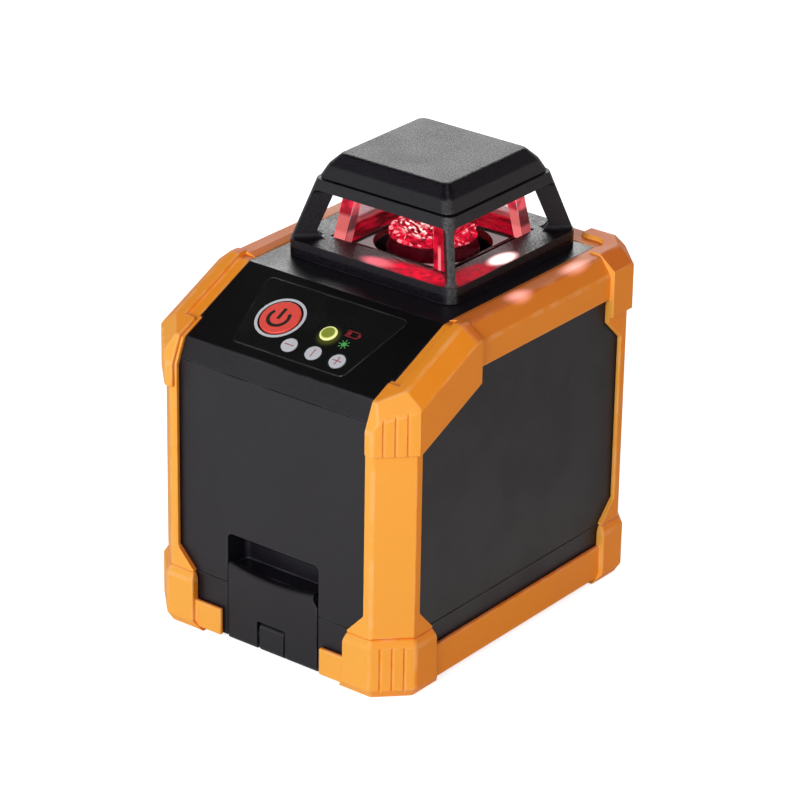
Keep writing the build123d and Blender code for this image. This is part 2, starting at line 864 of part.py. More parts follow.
def turret_frame():
    """Base ring with a holed floor, four blade pillars and the upper rim."""
    cage = square_taper(cage_half_low, ring_corner, ring_top_z, cage_half_high, cage_corner, rim_high_z)
    depth = pillar_depth / math.sqrt(2)
    lean = (cage_half_low - cage_half_high) / (rim_high_z - ring_top_z)
    levels = [
        (ring_top_z, depth + pillar_flare),
        (ring_top_z + pillar_flare_rise, depth),
        (rim_low_z - pillar_flare_rise, depth),
        (rim_low_z, depth + pillar_flare),
    ]
    halves = [(z, cage_half_low - lean * (z - ring_top_z) - inset) for z, inset in levels]
    hollows = []
    for (z0, half0), (z1, half1) in zip(halves, halves[1:]):
        hollows.append(square_taper(half0, cage_corner, z0, half1, cage_corner, z1))
    blades = [Pos(0, turret_y, 0) * Rot(Z=turn) * blade() for turn in (45, -45)]
    pillars = (cage & blades[0].fuse(blades[1])) - hollows
    pillars -= square_column(rim_inner_half, rim_low_z, tall)
    rim = cage & block(-tall, tall, -tall, tall, rim_low_z, rim_high_z)
    rim -= square_column(rim_inner_half, 0, tall)
    base = prism_z(rounded_square(ring_half, ring_corner, 0), deck_z, ring_top_z)
    base -= square_column(pane_half_low + pane_clearance, turret_floor_z, tall)
    base -= Pos(0, turret_y, 0) * rod(floor_hole_radius, 0, tall)
    frame = base + pillars + rim
    for place in turret_screw_places():
        frame -= place * rod(cover_screw_radius + screw_clearance, 0, deck_z + turret_screw_grip)
    return frame


def turret_cap():
    """Cap with sloped shoulders and a plug that sits in the rim."""
    low_z = rim_high_z + cap_gap
    cap = square_taper(cap_half_low, cap_corner, low_z, cap_half_shoulder, cap_corner, cap_shoulder_z)
    cap += square_taper(
        cap_half_shoulder, cap_corner, cap_shoulder_z, cap_half_top, cap_top_corner, cap_top_z
    )
    plug_half = rim_inner_half - plug_clearance
    cap += square_column(plug_half, rim_high_z - pane_seat_depth, low_z)
    collar_half = (rim_inner_half + cage_half_high) / 2
    return cap + square_column(collar_half, rim_high_z, low_z)


def window_panes():
    """Four leaning panes: the rear one is full width, the sides stop at it, the front fits between them."""
    low_z = turret_floor_z + gasket_thickness
    high_z = rim_high_z - pane_seat_depth - pane_clearance
    draw = (high_z - low_z) * math.tan(math.radians(pane_lean))
    high_half = pane_half_low - draw

    def square_frustum(shrink):
        low = Pos(0, turret_y, low_z) * Rectangle(2 * (pane_half_low - shrink), 2 * (pane_half_low - shrink))
        high = Pos(0, turret_y, high_z) * Rectangle(2 * (high_half - shrink), 2 * (high_half - shrink))
        return loft([low, high], ruled=True)

    def beyond(turn, gap):
        inner_low = pane_half_low - pane_thickness - gap
        inner_high = high_half - pane_thickness - gap
        points = [(inner_low, low_z), (tall, low_z), (tall, high_z), (inner_high, high_z)]
        return Pos(0, turret_y, 0) * Rot(Z=turn) * prism_y(points, -tall, tall)

    outer = square_frustum(0)
    panes = {"rear": outer & beyond(90, 0)}
    rest = outer - beyond(90, pane_gap)
    panes["right"] = rest & beyond(0, 0)
    panes["left"] = rest & beyond(180, 0)
    panes["front"] = (rest - beyond(0, pane_gap) - beyond(180, pane_gap)) & beyond(-90, 0)
    return panes


def window_gasket():
    """Flat gasket under the panes."""
    top = turret_floor_z + gasket_thickness
    ring = square_column(pane_half_low, turret_floor_z, top)
    return ring - square_column(pane_half_low - gasket_width, 0, tall)


def battery_door():
    """Flap with two hinge barrels, a slot for the fixed lug and a hollowed, rounded top edge."""
    front_y = -half_y
    plate = block(-door_half, door_half, front_y, door_back_y, door_low_z, door_side_z)
    toe = plate.edges().filter_by(Axis.X).sort_by_distance((0, front_y, door_low_z))[0]
    plate = fillet(toe, door_toe_round)
    top = [(-door_half, door_side_z), (0, door_middle_z), (door_half, door_side_z)]
    hollow = make_face(ThreePointArc(*top) + Line(top[2], top[0]))
    plate -= extrude(Plane.XZ.offset(-tall) * hollow, amount=2 * tall)
    lip = plate.edges().sort_by_distance((0, front_y, door_middle_z))[0]
    plate = fillet(lip, door_lip_round)
    door = plate + rod_x(hinge_radius, -door_half, door_half, hinge_y, hinge_z)
    slot_top_z = hinge_z + lug_height + lug_swing_gap
    door -= block(-lug_left - lug_slot_left, lug_right + lug_slot_right, -tall, tall, 0, slot_top_z)
    corner = [
        (door_half - door_notch_width, door_side_z),
        (door_half, door_side_z),
        (door_half, door_side_z - door_notch_height),
        (door_half - door_notch_width, door_side_z - door_notch_height / 2),
    ]
    door -= prism_y(corner, -tall, tall)
    bore_end = door_half - pin_end_cover
    return door - rod_x(hinge_pin_radius + pin_clearance, -bore_end, bore_end, hinge_y, hinge_z)


def door_hinge_pin():
    """Pin through the lug and both barrels."""
    reach = door_half - pin_end_cover - pin_clearance
    return rod_x(hinge_pin_radius, -reach, reach, hinge_y, hinge_z)


def door_contact():
    """Plate on the door that bridges the two rows of cells."""
    low_z = cell_z - contact_height / 2
    return block(
        -contact_width / 2,
        contact_width / 2,
        door_back_y,
        door_back_y + contact_thickness,
        low_z,
        low_z + contact_height,
    )


cells_front_y = door_back_y + contact_room
cells_rear_y = cells_front_y + 2 * cell_length


def battery_cells():
    """Two rows of two cells, laid along the depth."""
    cells = []
    for sx in (-1, 1):
        x = sx * cell_pitch / 2
        for i in range(2):
            start = cells_front_y + i * cell_length
            end = start + cell_length
            can = (start, end - cell_nub_length) if sx > 0 else (start + cell_nub_length, end)
            cell = rod_y(cell_radius, *can, x, cell_z)
            cells.append(cell + rod_y(cell_nub_radius, start, end, x, cell_z))
    return Compound(cells)


def battery_springs():
    """Bent contact leaves between the rear wall and the cells."""
    rear_y = half_y - wall
    front_y = cells_rear_y + spring_clearance
    low_z = cell_z - spring_height / 2
    high_z = cell_z + spring_height / 2
    leaf = [
        (rear_y, low_z),
        (rear_y, high_z),
        (rear_y - spring_strip, high_z),
        (rear_y - spring_strip, low_z + 2 * spring_strip),
        (front_y + spring_strip, cell_z),
        (front_y + spring_strip, high_z - spring_strip),
        (front_y, high_z - spring_strip),
        (front_y, cell_z - spring_strip),
        (rear_y - spring_strip, low_z),
    ]
    leaves = []
    for sx in (-1, 1):
        middle = sx * cell_pitch / 2
        leaves.append(prism_x(leaf, middle - spring_width / 2, middle + spring_width / 2))
    return Compound(leaves)


def gimbal_frame():
    """Plate with two uprights that carry the roll bearings."""
    plate = block(
        -frame_plate_half_x,
        frame_plate_half_x,
        turret_y - frame_plate_half_y,
        turret_y + frame_plate_half_y,
        floor_top_z,
        frame_top_z,
    )
    for sy in (-1, 1):
        near, far = sorted((turret_y + sy * upright_y, turret_y + sy * (upright_y + upright_thickness)))
        top_z = pivot_z + upright_over
        plate += block(-upright_width / 2, upright_width / 2, near, far, frame_top_z, top_z)
        plate -= rod_y(roll_bearing_radius + seat_clearance, near, far, 0, pivot_z)
    for place in frame_screw_places():
        plate -= place * rod(frame_screw_radius + screw_clearance, 0, tall)
    return plate


def roll_bearings():
    """Ball bearing in each upright."""
    rings = []
    for sy in (-1, 1):
        near, far = sorted((turret_y + sy * upright_y, turret_y + sy * (upright_y + roll_bearing_width)))
        ring = rod_y(roll_bearing_radius, near, far, 0, pivot_z)
        rings.append(ring - rod_y(roll_pin_radius + bearing_clearance, near, far, 0, pivot_z))
    return Compound(rings)


def gimbal_ring():
    """Square ring between the frame and the pendulum."""
    outer = ring_inner_half + ring_bar
    low = pivot_z - ring_height / 2
    high = pivot_z + ring_height / 2
    ring = square_column(outer, low, high) - square_column(ring_inner_half, low, high)
    ring -= rod_y(roll_pin_radius + seat_clearance, turret_y - outer, turret_y + outer, 0, pivot_z)
    bearing_end = ring_inner_half + pitch_bearing_width
    ring -= rod_x(pitch_bearing_radius + seat_clearance, -bearing_end, bearing_end, turret_y, pivot_z)
    return ring - rod_x(pitch_pin_radius + 4 * bearing_clearance, -outer, outer, turret_y, pivot_z)


def roll_pins():
    """Pins pressed in the ring that turn in the roll bearings."""
    pins = []
    for sy in (-1, 1):
        ends = sorted((turret_y + sy * ring_inner_half, turret_y + sy * (upright_y + roll_bearing_width)))
        pins.append(rod_y(roll_pin_radius, *ends, 0, pivot_z))
    return Compound(pins)


def pitch_bearings():
    """Ball bearing in each side of the ring."""
    rings = []
    for sx in (-1, 1):
        ends = side_range(sx, ring_inner_half, ring_inner_half + pitch_bearing_width)
        ring = rod_x(pitch_bearing_radius, *ends, turret_y, pivot_z)
        rings.append(ring - rod_x(pitch_pin_radius + bearing_clearance, *ends, turret_y, pivot_z))
    return Compound(rings)


def pitch_pins():
    """Pins pressed in the pendulum that turn in the pitch bearings."""
    pins = []
    for sx in (-1, 1):
        ends = side_range(sx, (laser_radius + head_half_x) / 2, ring_inner_half + pitch_bearing_width)
        pins.append(rod_x(pitch_pin_radius, *ends, turret_y, pivot_z))
    return Compound(pins)


def calibration_places():
    z = pivot_z - calibration_drop
    return [Pos(sx * calibration_x, turret_y - head_half_y, z) for sx in (-1, 1)]


def calibration_bore(place, radius):
    y = place.position.Y
    return rod_y(radius, y, y + calibration_length, place.position.X, place.position.Z)


def pendulum_body():
    """Hanging block with a bore for the laser module."""
    half = head_half_x
    head = block(
        -half,
        half,
        turret_y - head_half_y,
        turret_y + head_half_y,
        pivot_z - head_height / 2,
        pivot_z + head_height / 2,
    )
    axis = Pos(0, turret_y, 0)
    body = head + axis * rod(stem_radius, stem_low_z, pivot_z)
    body += axis * rod(neck_radius, pivot_z, holder_low_z)
    body -= axis * rod(laser_radius + seat_clearance, holder_low_z - laser_over - laser_length, tall)
    body -= axis * rod(weight_screw_radius + screw_clearance, 0, stem_low_z + weight_screw_grip)
    for sx in (-1, 1):
        ends = side_range(sx, (laser_radius + head_half_x) / 2, half)
        body -= rod_x(pitch_pin_radius + seat_clearance, *ends, turret_y, pivot_z)
    for place in calibration_places():
        body -= calibration_bore(place, calibration_radius + screw_clearance)
    return body


def calibration_screws():
    """Set screws that trim the balance."""
    return Compound([calibration_bore(place, calibration_radius) for place in calibration_places()])


def laser_module():
    """Barrel of the laser module, open at the lens end."""
    top = holder_low_z - laser_over
    barrel = rod(laser_radius, top - laser_length, top)
    return Pos(0, turret_y, 0) * (barrel - rod(lens_radius + seat_clearance, top - lens_thickness, top))


def collimating_lens():
    """Small lens in the mouth of the barrel."""
    top = holder_low_z - laser_over
    lens = rod(lens_radius, top - lens_thickness, top)
    return Pos(0, turret_y, 0) * fillet(lens.edges().group_by(Axis.Z)[-1], lens_thickness / 3)


def prism_holder():
    """Black ring on the pendulum that carries the prism."""
    return Pos(0, turret_y, 0) * tube(holder_radius, holder_bore_radius, holder_low_z, holder_top_z)


def cone_prism():
    """Glass cylinder with a cone sunk in its top that throws the beam sideways."""
    top = holder_top_z + prism_height
    glass = rod(prism_radius, holder_top_z, top)
    sink = Pos(0, 0, top - prism_cone_depth / 2) * Cone(0, prism_radius - prism_rim, prism_cone_depth)
    return Pos(0, turret_y, 0) * (glass - sink)


def pendulum_weight():
    """Brass bob under the stem."""
    bob = rod(weight_radius, weight_low_z, stem_low_z) - rod(weight_screw_radius + screw_clearance, 0, tall)
    return Pos(0, turret_y, 0) * bob


def damping_plate():
    """Copper disc that swings over the magnets."""
    disc = rod(plate_radius, plate_low_z, weight_low_z) - rod(weight_screw_radius + screw_clearance, 0, tall)
    return Pos(0, turret_y, 0) * disc


def weight_screw():
    """Screw that holds the disc and the bob to the stem."""
    shank = rod(weight_screw_radius, plate_low_z, stem_low_z + weight_screw_grip)
    head = rod(weight_head_radius, plate_low_z - weight_head_height, plate_low_z)
    return Pos(0, turret_y, 0) * (shank + head)


def damping_magnets():
    """Round magnets on the frame plate, under the disc."""
    magnets = []
    for sx, sy in corners:
        away = magnet_circle / math.sqrt(2)
        place = Pos(sx * away, turret_y + sy * away, 0)
        magnets.append(place * rod(magnet_radius, frame_top_z, frame_top_z + magnet_thickness))
    return Compound(magnets)


def headed_screw(radius, head_radius, head_height, seat_z, length):
    """Screw that points up from a head under seat_z."""
    return rod(radius, seat_z, seat_z + length) + rod(head_radius, seat_z - head_height, seat_z)


def case_screws():
    """Screws from under the base into the housing."""
    seat = base_under_z + case_head_sink
    length = floor_top_z + case_screw_grip - 2 * wall - seat
    screw = headed_screw(case_screw_radius, case_head_radius, case_head_height, seat, length)
    return Compound([place * screw for place in case_screw_places()])


def cover_screws():
    """Screws from inside the housing into the cover posts."""
    length = cover_tab_thickness + cover_screw_grip
    screw = headed_screw(cover_screw_radius, cover_head_radius, cover_head_height, cover_tab_z, length)
    return Compound([place * screw for place in cover_screw_places()])


def turret_screws():
    """Screws from under the deck into the turret ring."""
    seat = deck_z - cover_wall
    length = cover_wall + turret_screw_grip - cap_gap
    screw = headed_screw(cover_screw_radius, cover_head_radius, cover_head_height, seat, length)
    return Compound([place * screw for place in turret_screw_places()])


def gimbal_frame_screws():
    """Screws that hold the gimbal frame to the inner floor."""
    screws = []
    for place in frame_screw_places():
        shank = rod(frame_screw_radius, floor_low_z - frame_boss_drop, frame_top_z)
        head = rod(frame_head_radius, frame_top_z, frame_top_z + frame_head_height)
        screws.append(place * (shank + head))
    return Compound(screws)


def tripod_insert():
    """Brass insert with a blind tripod thread in the underside."""
    insert = rod(insert_radius, base_under_z, bay_floor_z)
    return Pos(0, turret_y, 0) * (insert - rod(insert_bore_radius, base_under_z, bay_floor_z - insert_top))


rubber_top = upper_bumper()
panes = window_panes()
small_key = key(key_radius, key_stem_radius, key_proud)
key_names = ["horizontal_key", "vertical_key", "cross_key"]
parts = {
    "base_shell": base_shell(),
    "main_housing": main_housing(rubber_top),
    "top_cover": top_cover(rubber_top),
    "upper_bumper": rubber_top,
    "lower_bumper": lower_bumper(),
    "turret_frame": turret_frame(),
    "turret_cap": turret_cap(),
    "window_gasket": window_gasket(),
    "keypad_overlay": keypad_overlay(),
    "power_button": power_place * key(power_radius, power_stem_radius, power_proud),
    "status_lens": status_lens(),
    "status_led": status_led(),
    "control_board": control_board(),
    "tact_switches": tact_switches(),
    "board_screws": board_screws(),
    "battery_door": battery_door(),
    "door_hinge_pin": door_hinge_pin(),
    "door_contact": door_contact(),
    "battery_cells": battery_cells(),
    "battery_springs": battery_springs(),
    "gimbal_frame": gimbal_frame(),
    "gimbal_frame_screws": gimbal_frame_screws(),
    "roll_bearings": roll_bearings(),
    "gimbal_ring": gimbal_ring(),
    "roll_pins": roll_pins(),
    "pitch_bearings": pitch_bearings(),
    "pitch_pins": pitch_pins(),
    "pendulum_body": pendulum_body(),
    "calibration_screws": calibration_screws(),
    "laser_module": laser_module(),
    "collimating_lens": collimating_lens(),
    "prism_holder": prism_holder(),
    "cone_prism": cone_prism(),
    "pendulum_weight": pendulum_weight(),
    "weight_screw": weight_screw(),
    "damping_plate": damping_plate(),
    "damping_magnets": damping_magnets(),
    "case_screws": case_screws(),
    "cover_screws": cover_screws(),
    "turret_screws": turret_screws(),
    "tripod_insert": tripod_insert(),
    "base_seal": base_seal(),
}
for side, pane in panes.items():
    parts["window_" + side] = pane
for name, place in zip(key_names, key_places()):
    parts[name] = place * small_key

os.makedirs("parts", exist_ok=True)
for name, shape in parts.items():
    export_step(shape, f"parts/{name}.step")
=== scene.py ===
import bmesh
import bpy
import json
import math
from mathutils import Matrix, Vector

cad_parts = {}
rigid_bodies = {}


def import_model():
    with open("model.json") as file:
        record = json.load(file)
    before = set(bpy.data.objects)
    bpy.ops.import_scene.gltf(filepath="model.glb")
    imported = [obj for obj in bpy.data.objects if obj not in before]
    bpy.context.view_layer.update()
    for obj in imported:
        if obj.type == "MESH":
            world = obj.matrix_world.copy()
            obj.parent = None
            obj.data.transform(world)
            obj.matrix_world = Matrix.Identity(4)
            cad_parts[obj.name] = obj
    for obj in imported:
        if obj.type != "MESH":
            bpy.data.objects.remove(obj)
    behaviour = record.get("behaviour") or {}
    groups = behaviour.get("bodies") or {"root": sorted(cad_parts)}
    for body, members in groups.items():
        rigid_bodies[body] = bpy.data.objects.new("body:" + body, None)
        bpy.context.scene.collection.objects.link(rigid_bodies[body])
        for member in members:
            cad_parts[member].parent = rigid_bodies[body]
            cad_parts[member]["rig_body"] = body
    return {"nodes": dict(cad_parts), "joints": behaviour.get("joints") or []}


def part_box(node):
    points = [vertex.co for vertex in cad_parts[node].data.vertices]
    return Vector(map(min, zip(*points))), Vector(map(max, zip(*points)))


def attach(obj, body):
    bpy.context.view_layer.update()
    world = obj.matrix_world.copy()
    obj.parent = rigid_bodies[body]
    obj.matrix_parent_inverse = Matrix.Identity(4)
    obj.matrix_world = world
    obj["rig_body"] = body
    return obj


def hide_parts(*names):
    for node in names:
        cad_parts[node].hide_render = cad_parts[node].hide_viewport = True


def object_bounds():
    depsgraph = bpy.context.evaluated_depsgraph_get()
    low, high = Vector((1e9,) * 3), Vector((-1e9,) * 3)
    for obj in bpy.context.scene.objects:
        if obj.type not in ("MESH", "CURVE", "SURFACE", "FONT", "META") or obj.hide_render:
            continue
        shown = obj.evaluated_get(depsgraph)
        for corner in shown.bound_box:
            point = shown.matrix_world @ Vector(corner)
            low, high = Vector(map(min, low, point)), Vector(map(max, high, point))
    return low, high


for leftover in list(bpy.data.objects):
    bpy.data.objects.remove(leftover)
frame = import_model()
cad_low, cad_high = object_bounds()
nodes = frame["nodes"]

# Studio
# A pale sheet under the object, a large soft key lamp in front, weaker soft boxes at the left and right
# and one low behind that lays a sheen over the flat tops. The camera looks at the front right corner.
scene = bpy.context.scene
scene.view_settings.view_transform = "Standard"


def new_object(name, data):
    """Object placed in the scene."""
    made = bpy.data.objects.new(name, data)
    scene.collection.objects.link(made)
    return made


camera_azimuth = math.radians(37.53)
camera_elevation = math.radians(24.87)
camera_roll = math.radians(0.98)
camera_spot = Vector((0.6413, -0.8336, 0.5513))
back = Vector((
    math.sin(camera_azimuth) * math.cos(camera_elevation),
    -math.cos(camera_azimuth) * math.cos(camera_elevation),
    math.sin(camera_elevation),
))
level_right = Vector((math.cos(camera_azimuth), math.sin(camera_azimuth), 0))
level_up = back.cross(level_right)
image_right = level_right * math.cos(camera_roll) + level_up * math.sin(camera_roll)
image_up = level_up * math.cos(camera_roll) - level_right * math.sin(camera_roll)
camera = new_object("camera", bpy.data.cameras.new("camera"))
camera.data.sensor_width = 36.0
camera.data.lens = 171.55
camera_turn = Matrix((image_right, image_up, back)).transposed().to_4x4()
camera.matrix_world = Matrix.Translation(camera_spot) @ camera_turn
scene.camera = camera

lamp_distance = 1.5


def soft_box(name, azimuth, elevation, size, watts, colour=(1, 1, 1)):
    """Square lamp that faces the object; azimuth runs from the front towards the right."""
    turn = math.radians(azimuth)
    rise = math.radians(elevation)
    away = Vector((math.sin(turn) * math.cos(rise), -math.cos(turn) * math.cos(rise), math.sin(rise)))
    lamp = bpy.data.lights.new(name, "AREA")
    lamp.size = size
    lamp.energy = watts
    lamp.color = colour
    made = new_object(name, lamp)
    made.location = (cad_low + cad_high) / 2 + away * lamp_distance
    made.rotation_mode = "QUATERNION"
    made.rotation_quaternion = away.to_track_quat("Z", "Y")


soft_box("key_lamp", azimuth=10, elevation=22, size=0.8, watts=17.5, colour=(0.97, 1.0, 1.03))
soft_box("left_lamp", azimuth=-42, elevation=32, size=0.7, watts=1.6)
soft_box("right_lamp", azimuth=100, elevation=22, size=0.7, watts=5.4, colour=(1.0, 0.78, 0.6))
soft_box("rear_lamp", azimuth=-142.5, elevation=25, size=0.8, watts=9.8)


def feed(socket, value):
    """Link a socket to another, or set it to a plain value."""
    if isinstance(value, bpy.types.NodeSocket):
        socket.id_data.links.new(value, socket)
    else:
        socket.default_value = value


def wire(node, **values):
    """Set or link inputs of a node by name, with _ for each blank in the name."""
    for name, value in values.items():
        feed(node.inputs[name.replace("_", " ")], value)


def shader_node(tree, kind, **values):
    """Place a node, and set or link its inputs by name."""
    made = tree.nodes.new(kind)
    wire(made, **values)
    return made


def sum_node(kind, operation, first, second):
    """Outputs of one sum on two terms, of which one or both are sockets."""
    socket = first if isinstance(first, bpy.types.NodeSocket) else second
    made = socket.id_data.nodes.new(kind)
    made.operation = operation
    feed(made.inputs[0], first)
    feed(made.inputs[1], second)
    return made.outputs


def math_node(operation, first, second=0.0):
    """Result of one sum on two values or sockets."""
    return sum_node("ShaderNodeMath", operation, first, second)[0]


def times(first, second):
    """Product of two values or sockets."""
    return math_node("MULTIPLY", first, second)


def larger(first, second):
    """Larger of two values or sockets."""
    return math_node("MAXIMUM", first, second)


def parts_of(vector):
    """The three parts of a vector socket."""
    return shader_node(vector.id_data, "ShaderNodeSeparateXYZ", Vector=vector).outputs


def ramp(value, low, high, start=0.0, end=1.0):
    """Value that runs smoothly from start to end as its input runs from low to high."""
    span = {"From_Min": low, "From_Max": high, "To_Min": start, "To_Max": end}
    made = shader_node(value.id_data, "ShaderNodeMapRange", Value=value, **span)
    made.interpolation_type = "SMOOTHSTEP"
    return made.outputs["Result"]


ambient_level = 0.12
ceiling_level = 0.06
world = bpy.data.worlds.new("studio")
scene.world = world
world.use_nodes = True
sky = world.node_tree
sky.nodes.clear()
path = sky.nodes.new("ShaderNodeLightPath").outputs
outlook = sky.nodes.new("ShaderNodeTexCoord").outputs["Generated"]
rise = parts_of(outlook)["Z"]
backdrop = ramp(rise, 0.05, 0.5, 1.0, ceiling_level)
mirrored = larger(path["Is Glossy Ray"], path["Is Transmission Ray"])
mirrored = times(mirrored, backdrop)
gathered = times(path["Is Diffuse Ray"], ambient_level)
level = larger(larger(mirrored, path["Is Camera Ray"]), gathered)
light = shader_node(sky, "ShaderNodeBackground", Color=(1, 1, 1, 1), Strength=level)
sky_out = sky.nodes.new("ShaderNodeOutputWorld")
sky.links.new(light.outputs[0], sky_out.inputs["Surface"])

floor_reach = 6.0
floor_drop = 0.0002
paper_tone = (0.84, 0.84, 0.84, 1)
seen_glow = 0.75
mirrored_glow = 0.48
floor_mesh = bpy.data.meshes.new("floor")
square_corners = [(-1, -1), (1, -1), (1, 1), (-1, 1)]
floor_points = [(x * floor_reach, y * floor_reach, cad_low.z - floor_drop) for x, y in square_corners]
floor_mesh.from_pydata(floor_points, [], [(0, 1, 2, 3)])
floor = new_object("floor", floor_mesh)
paper = bpy.data.materials.new("floor_paper")
paper.use_nodes = True
tree = paper.node_tree
tree.nodes.clear()
path = tree.nodes.new("ShaderNodeLightPath").outputs
mirrored = larger(path["Is Glossy Ray"], path["Is Transmission Ray"])
sheet_place = tree.nodes.new("ShaderNodeTexCoord").outputs["Object"]
depth = parts_of(sheet_place)["Y"]
mirrored = times(mirrored, ramp(depth, -0.2, 0.2, mirrored_glow, 0.0))
seen = times(path["Is Camera Ray"], seen_glow)
lift = larger(mirrored, seen)
matt = shader_node(tree, "ShaderNodeBsdfDiffuse", Color=paper_tone)
glow = shader_node(tree, "ShaderNodeEmission", Color=(1, 1, 1, 1), Strength=lift)
both = tree.nodes.new("ShaderNodeAddShader")
tree.links.new(matt.outputs[0], both.inputs[0])
tree.links.new(glow.outputs[0], both.inputs[1])
paper_out = tree.nodes.new("ShaderNodeOutputMaterial")
tree.links.new(both.outputs[0], paper_out.inputs["Surface"])
floor.data.materials.append(paper)


# Base tray
# Moulded black plastic tray that closes the body from below and carries the battery bay, the lug of
# the flap's hinge and the tripod boss. Fine spark-eroded skin, with a small mould round on each edge.
def new_group(name, inputs, outputs):
    """Empty shader node group with value inputs and value outputs."""
    group = bpy.data.node_groups.new(name, "ShaderNodeTree")
    for label, default in inputs.items():
        socket = group.interface.new_socket(label, in_out="INPUT", socket_type="NodeSocketFloat")
        socket.default_value = default
    for label in outputs:
        group.interface.new_socket(label, in_out="OUTPUT", socket_type="NodeSocketFloat")
    return group, group.nodes.new("NodeGroupInput").outputs, group.nodes.new("NodeGroupOutput").inputs


def object_place(tree):
    """Place on the object, in metres in the object's own frame."""
    return tree.nodes.new("ShaderNodeTexCoord").outputs["Object"]


def noise(place, scale, detail, **more):
    """Soft noise from 0 to 1."""
    settings = {"Vector": place, "Scale": scale, "Detail": detail, **more}
    return shader_node(place.id_data, "ShaderNodeTexNoise", **settings).outputs["Fac"]


def moulded_grain_group():
    """Height and tone of a fine pebbled mould skin; Size is the width of one pebble in metres."""
    group, given, made = new_group("moulded_grain", {"Size": 0.0005}, ("Height", "Tone"))
    place = object_place(group)
    scale = math_node("DIVIDE", 1.0, given["Size"])
    pebble = noise(place, scale, 2.0, Roughness=0.6)
    speck = shader_node(group, "ShaderNodeTexVoronoi", Vector=place, Scale=scale).outputs["Distance"]
    group.links.new(times(pebble, speck), made["Height"])
    group.links.new(ramp(pebble, 0.3, 0.7), made["Tone"])
    return group


def patch_group(name, size_name, size, mask, detail, low, high):
    """Mask of soft patches, whose width in metres is the group's one input."""
    group, given, made = new_group(name, {size_name: size}, (mask,))
    scale = math_node("DIVIDE", 1.0, given[size_name])
    cloud = noise(object_place(group), scale, detail)
    group.links.new(ramp(cloud, low, high), made[mask])
    return group


moulded_grain = moulded_grain_group()
edge_patches = patch_group("edge_patches", "Patch", 0.012, "Mask", detail=4.0, low=0.35, high=0.65)
handling = patch_group("handling", "Span", 0.02, "Smudge", detail=5.0, low=0.3, high=0.7)


def place_group(tree, group, **values):
    """Put a node group in a material, set its inputs and give its outputs."""
    made = tree.nodes.new("ShaderNodeGroup")
    made.node_tree = group
    wire(made, **values)
    return made.outputs


def mix(share, first, second):
    """Colour between two colours or colour sockets."""
    made = share.id_data.nodes.new("ShaderNodeMix")
    made.data_type = "RGBA"
    for index, value in ((0, share), (6, first), (7, second)):
        if isinstance(value, tuple):
            value = value + (1,)
        feed(made.inputs[index], value)
    return made.outputs[2]


def new_material(name):
    """Material with a Principled shader, ready to be wired."""
    made = bpy.data.materials.new(name)
    made.use_nodes = True
    return made, made.node_tree, made.node_tree.nodes["Principled BSDF"]


def finish_surface(shader, colour, roughness, height, depth):
    """Wire colour, roughness and a fine bump of the given depth into a shader."""
    bump = shader_node(shader.id_data, "ShaderNodeBump", Height=height, Strength=0.6, Distance=depth)
    wire(shader, Base_Color=colour, Roughness=roughness, Normal=bump.outputs["Normal"])


def moulded_plastic(
    name, tone, grain, depth, roughness, spread=0.35, gloss=0.5, edge_patch_tone=None, drift=0.05, grit=0.0
):
    """Moulded plastic: a grained skin with slow smudges and grit in the sheen, with patches of an edge tone
    where one is given: wear on case and turret edges, a painted highlight on the film's cut edge.
    """
    made, tree, shader = new_material(name)
    skin = place_group(tree, moulded_grain, Size=grain)
    touch = place_group(tree, handling)
    dark = tuple(c * (1 - spread) for c in tone)
    pale = tuple(min(1.0, c * (1 + spread)) for c in tone)
    colour = mix(skin["Tone"], dark, pale)
    if edge_patch_tone:
        colour = mix(place_group(tree, edge_patches)["Mask"], colour, edge_patch_tone)
    sheen = ramp(touch["Smudge"], 0.0, 1.0, roughness - drift, roughness + drift)
    sheen = math_node("ADD", sheen, ramp(skin["Tone"], 0.0, 1.0, -grit, grit))
    finish_surface(shader, colour, sheen, skin["Height"], depth)
    wire(shader, Specular_IOR_Level=gloss)
    return made, tree, shader


def put_in_place(mesh, name, body, slot, *replaced):
    """Make a piece from a mesh, fix it to a body and let it stand for CAD nodes."""
    piece = new_object(name, mesh)
    if replaced:
        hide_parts(*replaced)
    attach(piece, body)
    return piece


def stand_in(mesh, name, node, material, slot):
    """Make a piece of one material that stands for a CAD node and goes with that node's body."""
    mesh.materials.clear()
    mesh.materials.append(material)
    return put_in_place(mesh, name, nodes[node]["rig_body"], slot, node)


# Limits of the edge rounds: lengths in metres, leans as cosines, and shares
weld_reach = 0.000002
flat_turn = math.radians(0.05)
sharp_turn = math.radians(11.0)
least_room = 0.000001
sideways = 0.8
straight_on = 0.94
room_share = 0.4
least_round = 0.1
round_tries = 8
round_step_down = 0.6
fold_share = 1.003
fold_area = 1e-8


def face_room(edge, face):
    """Free width of a face beside an edge, measured square to the edge at its middle."""
    middle = (edge.verts[0].co + edge.verts[1].co) / 2
    loop = next(corner for corner in face.loops if corner.edge == edge)
    along = (loop.link_loop_next.vert.co - loop.vert.co).normalized()
    inward = face.normal.cross(along)
    room = 1.0
    for other in face.edges:
        first, second = (corner.co - middle for corner in other.verts)
        near = first.dot(along)
        far = second.dot(along)
        if other != edge and near * far <= 0 and near != far:
            reach = first.lerp(second, near / (near - far)).dot(inward)
            if reach > least_room:
                room = min(room, reach)
    return room


def way_out(edge, corner):
    """Direction of an edge as it leaves one of its ends."""
    return (edge.other_vert(corner).co - corner.co).normalized()


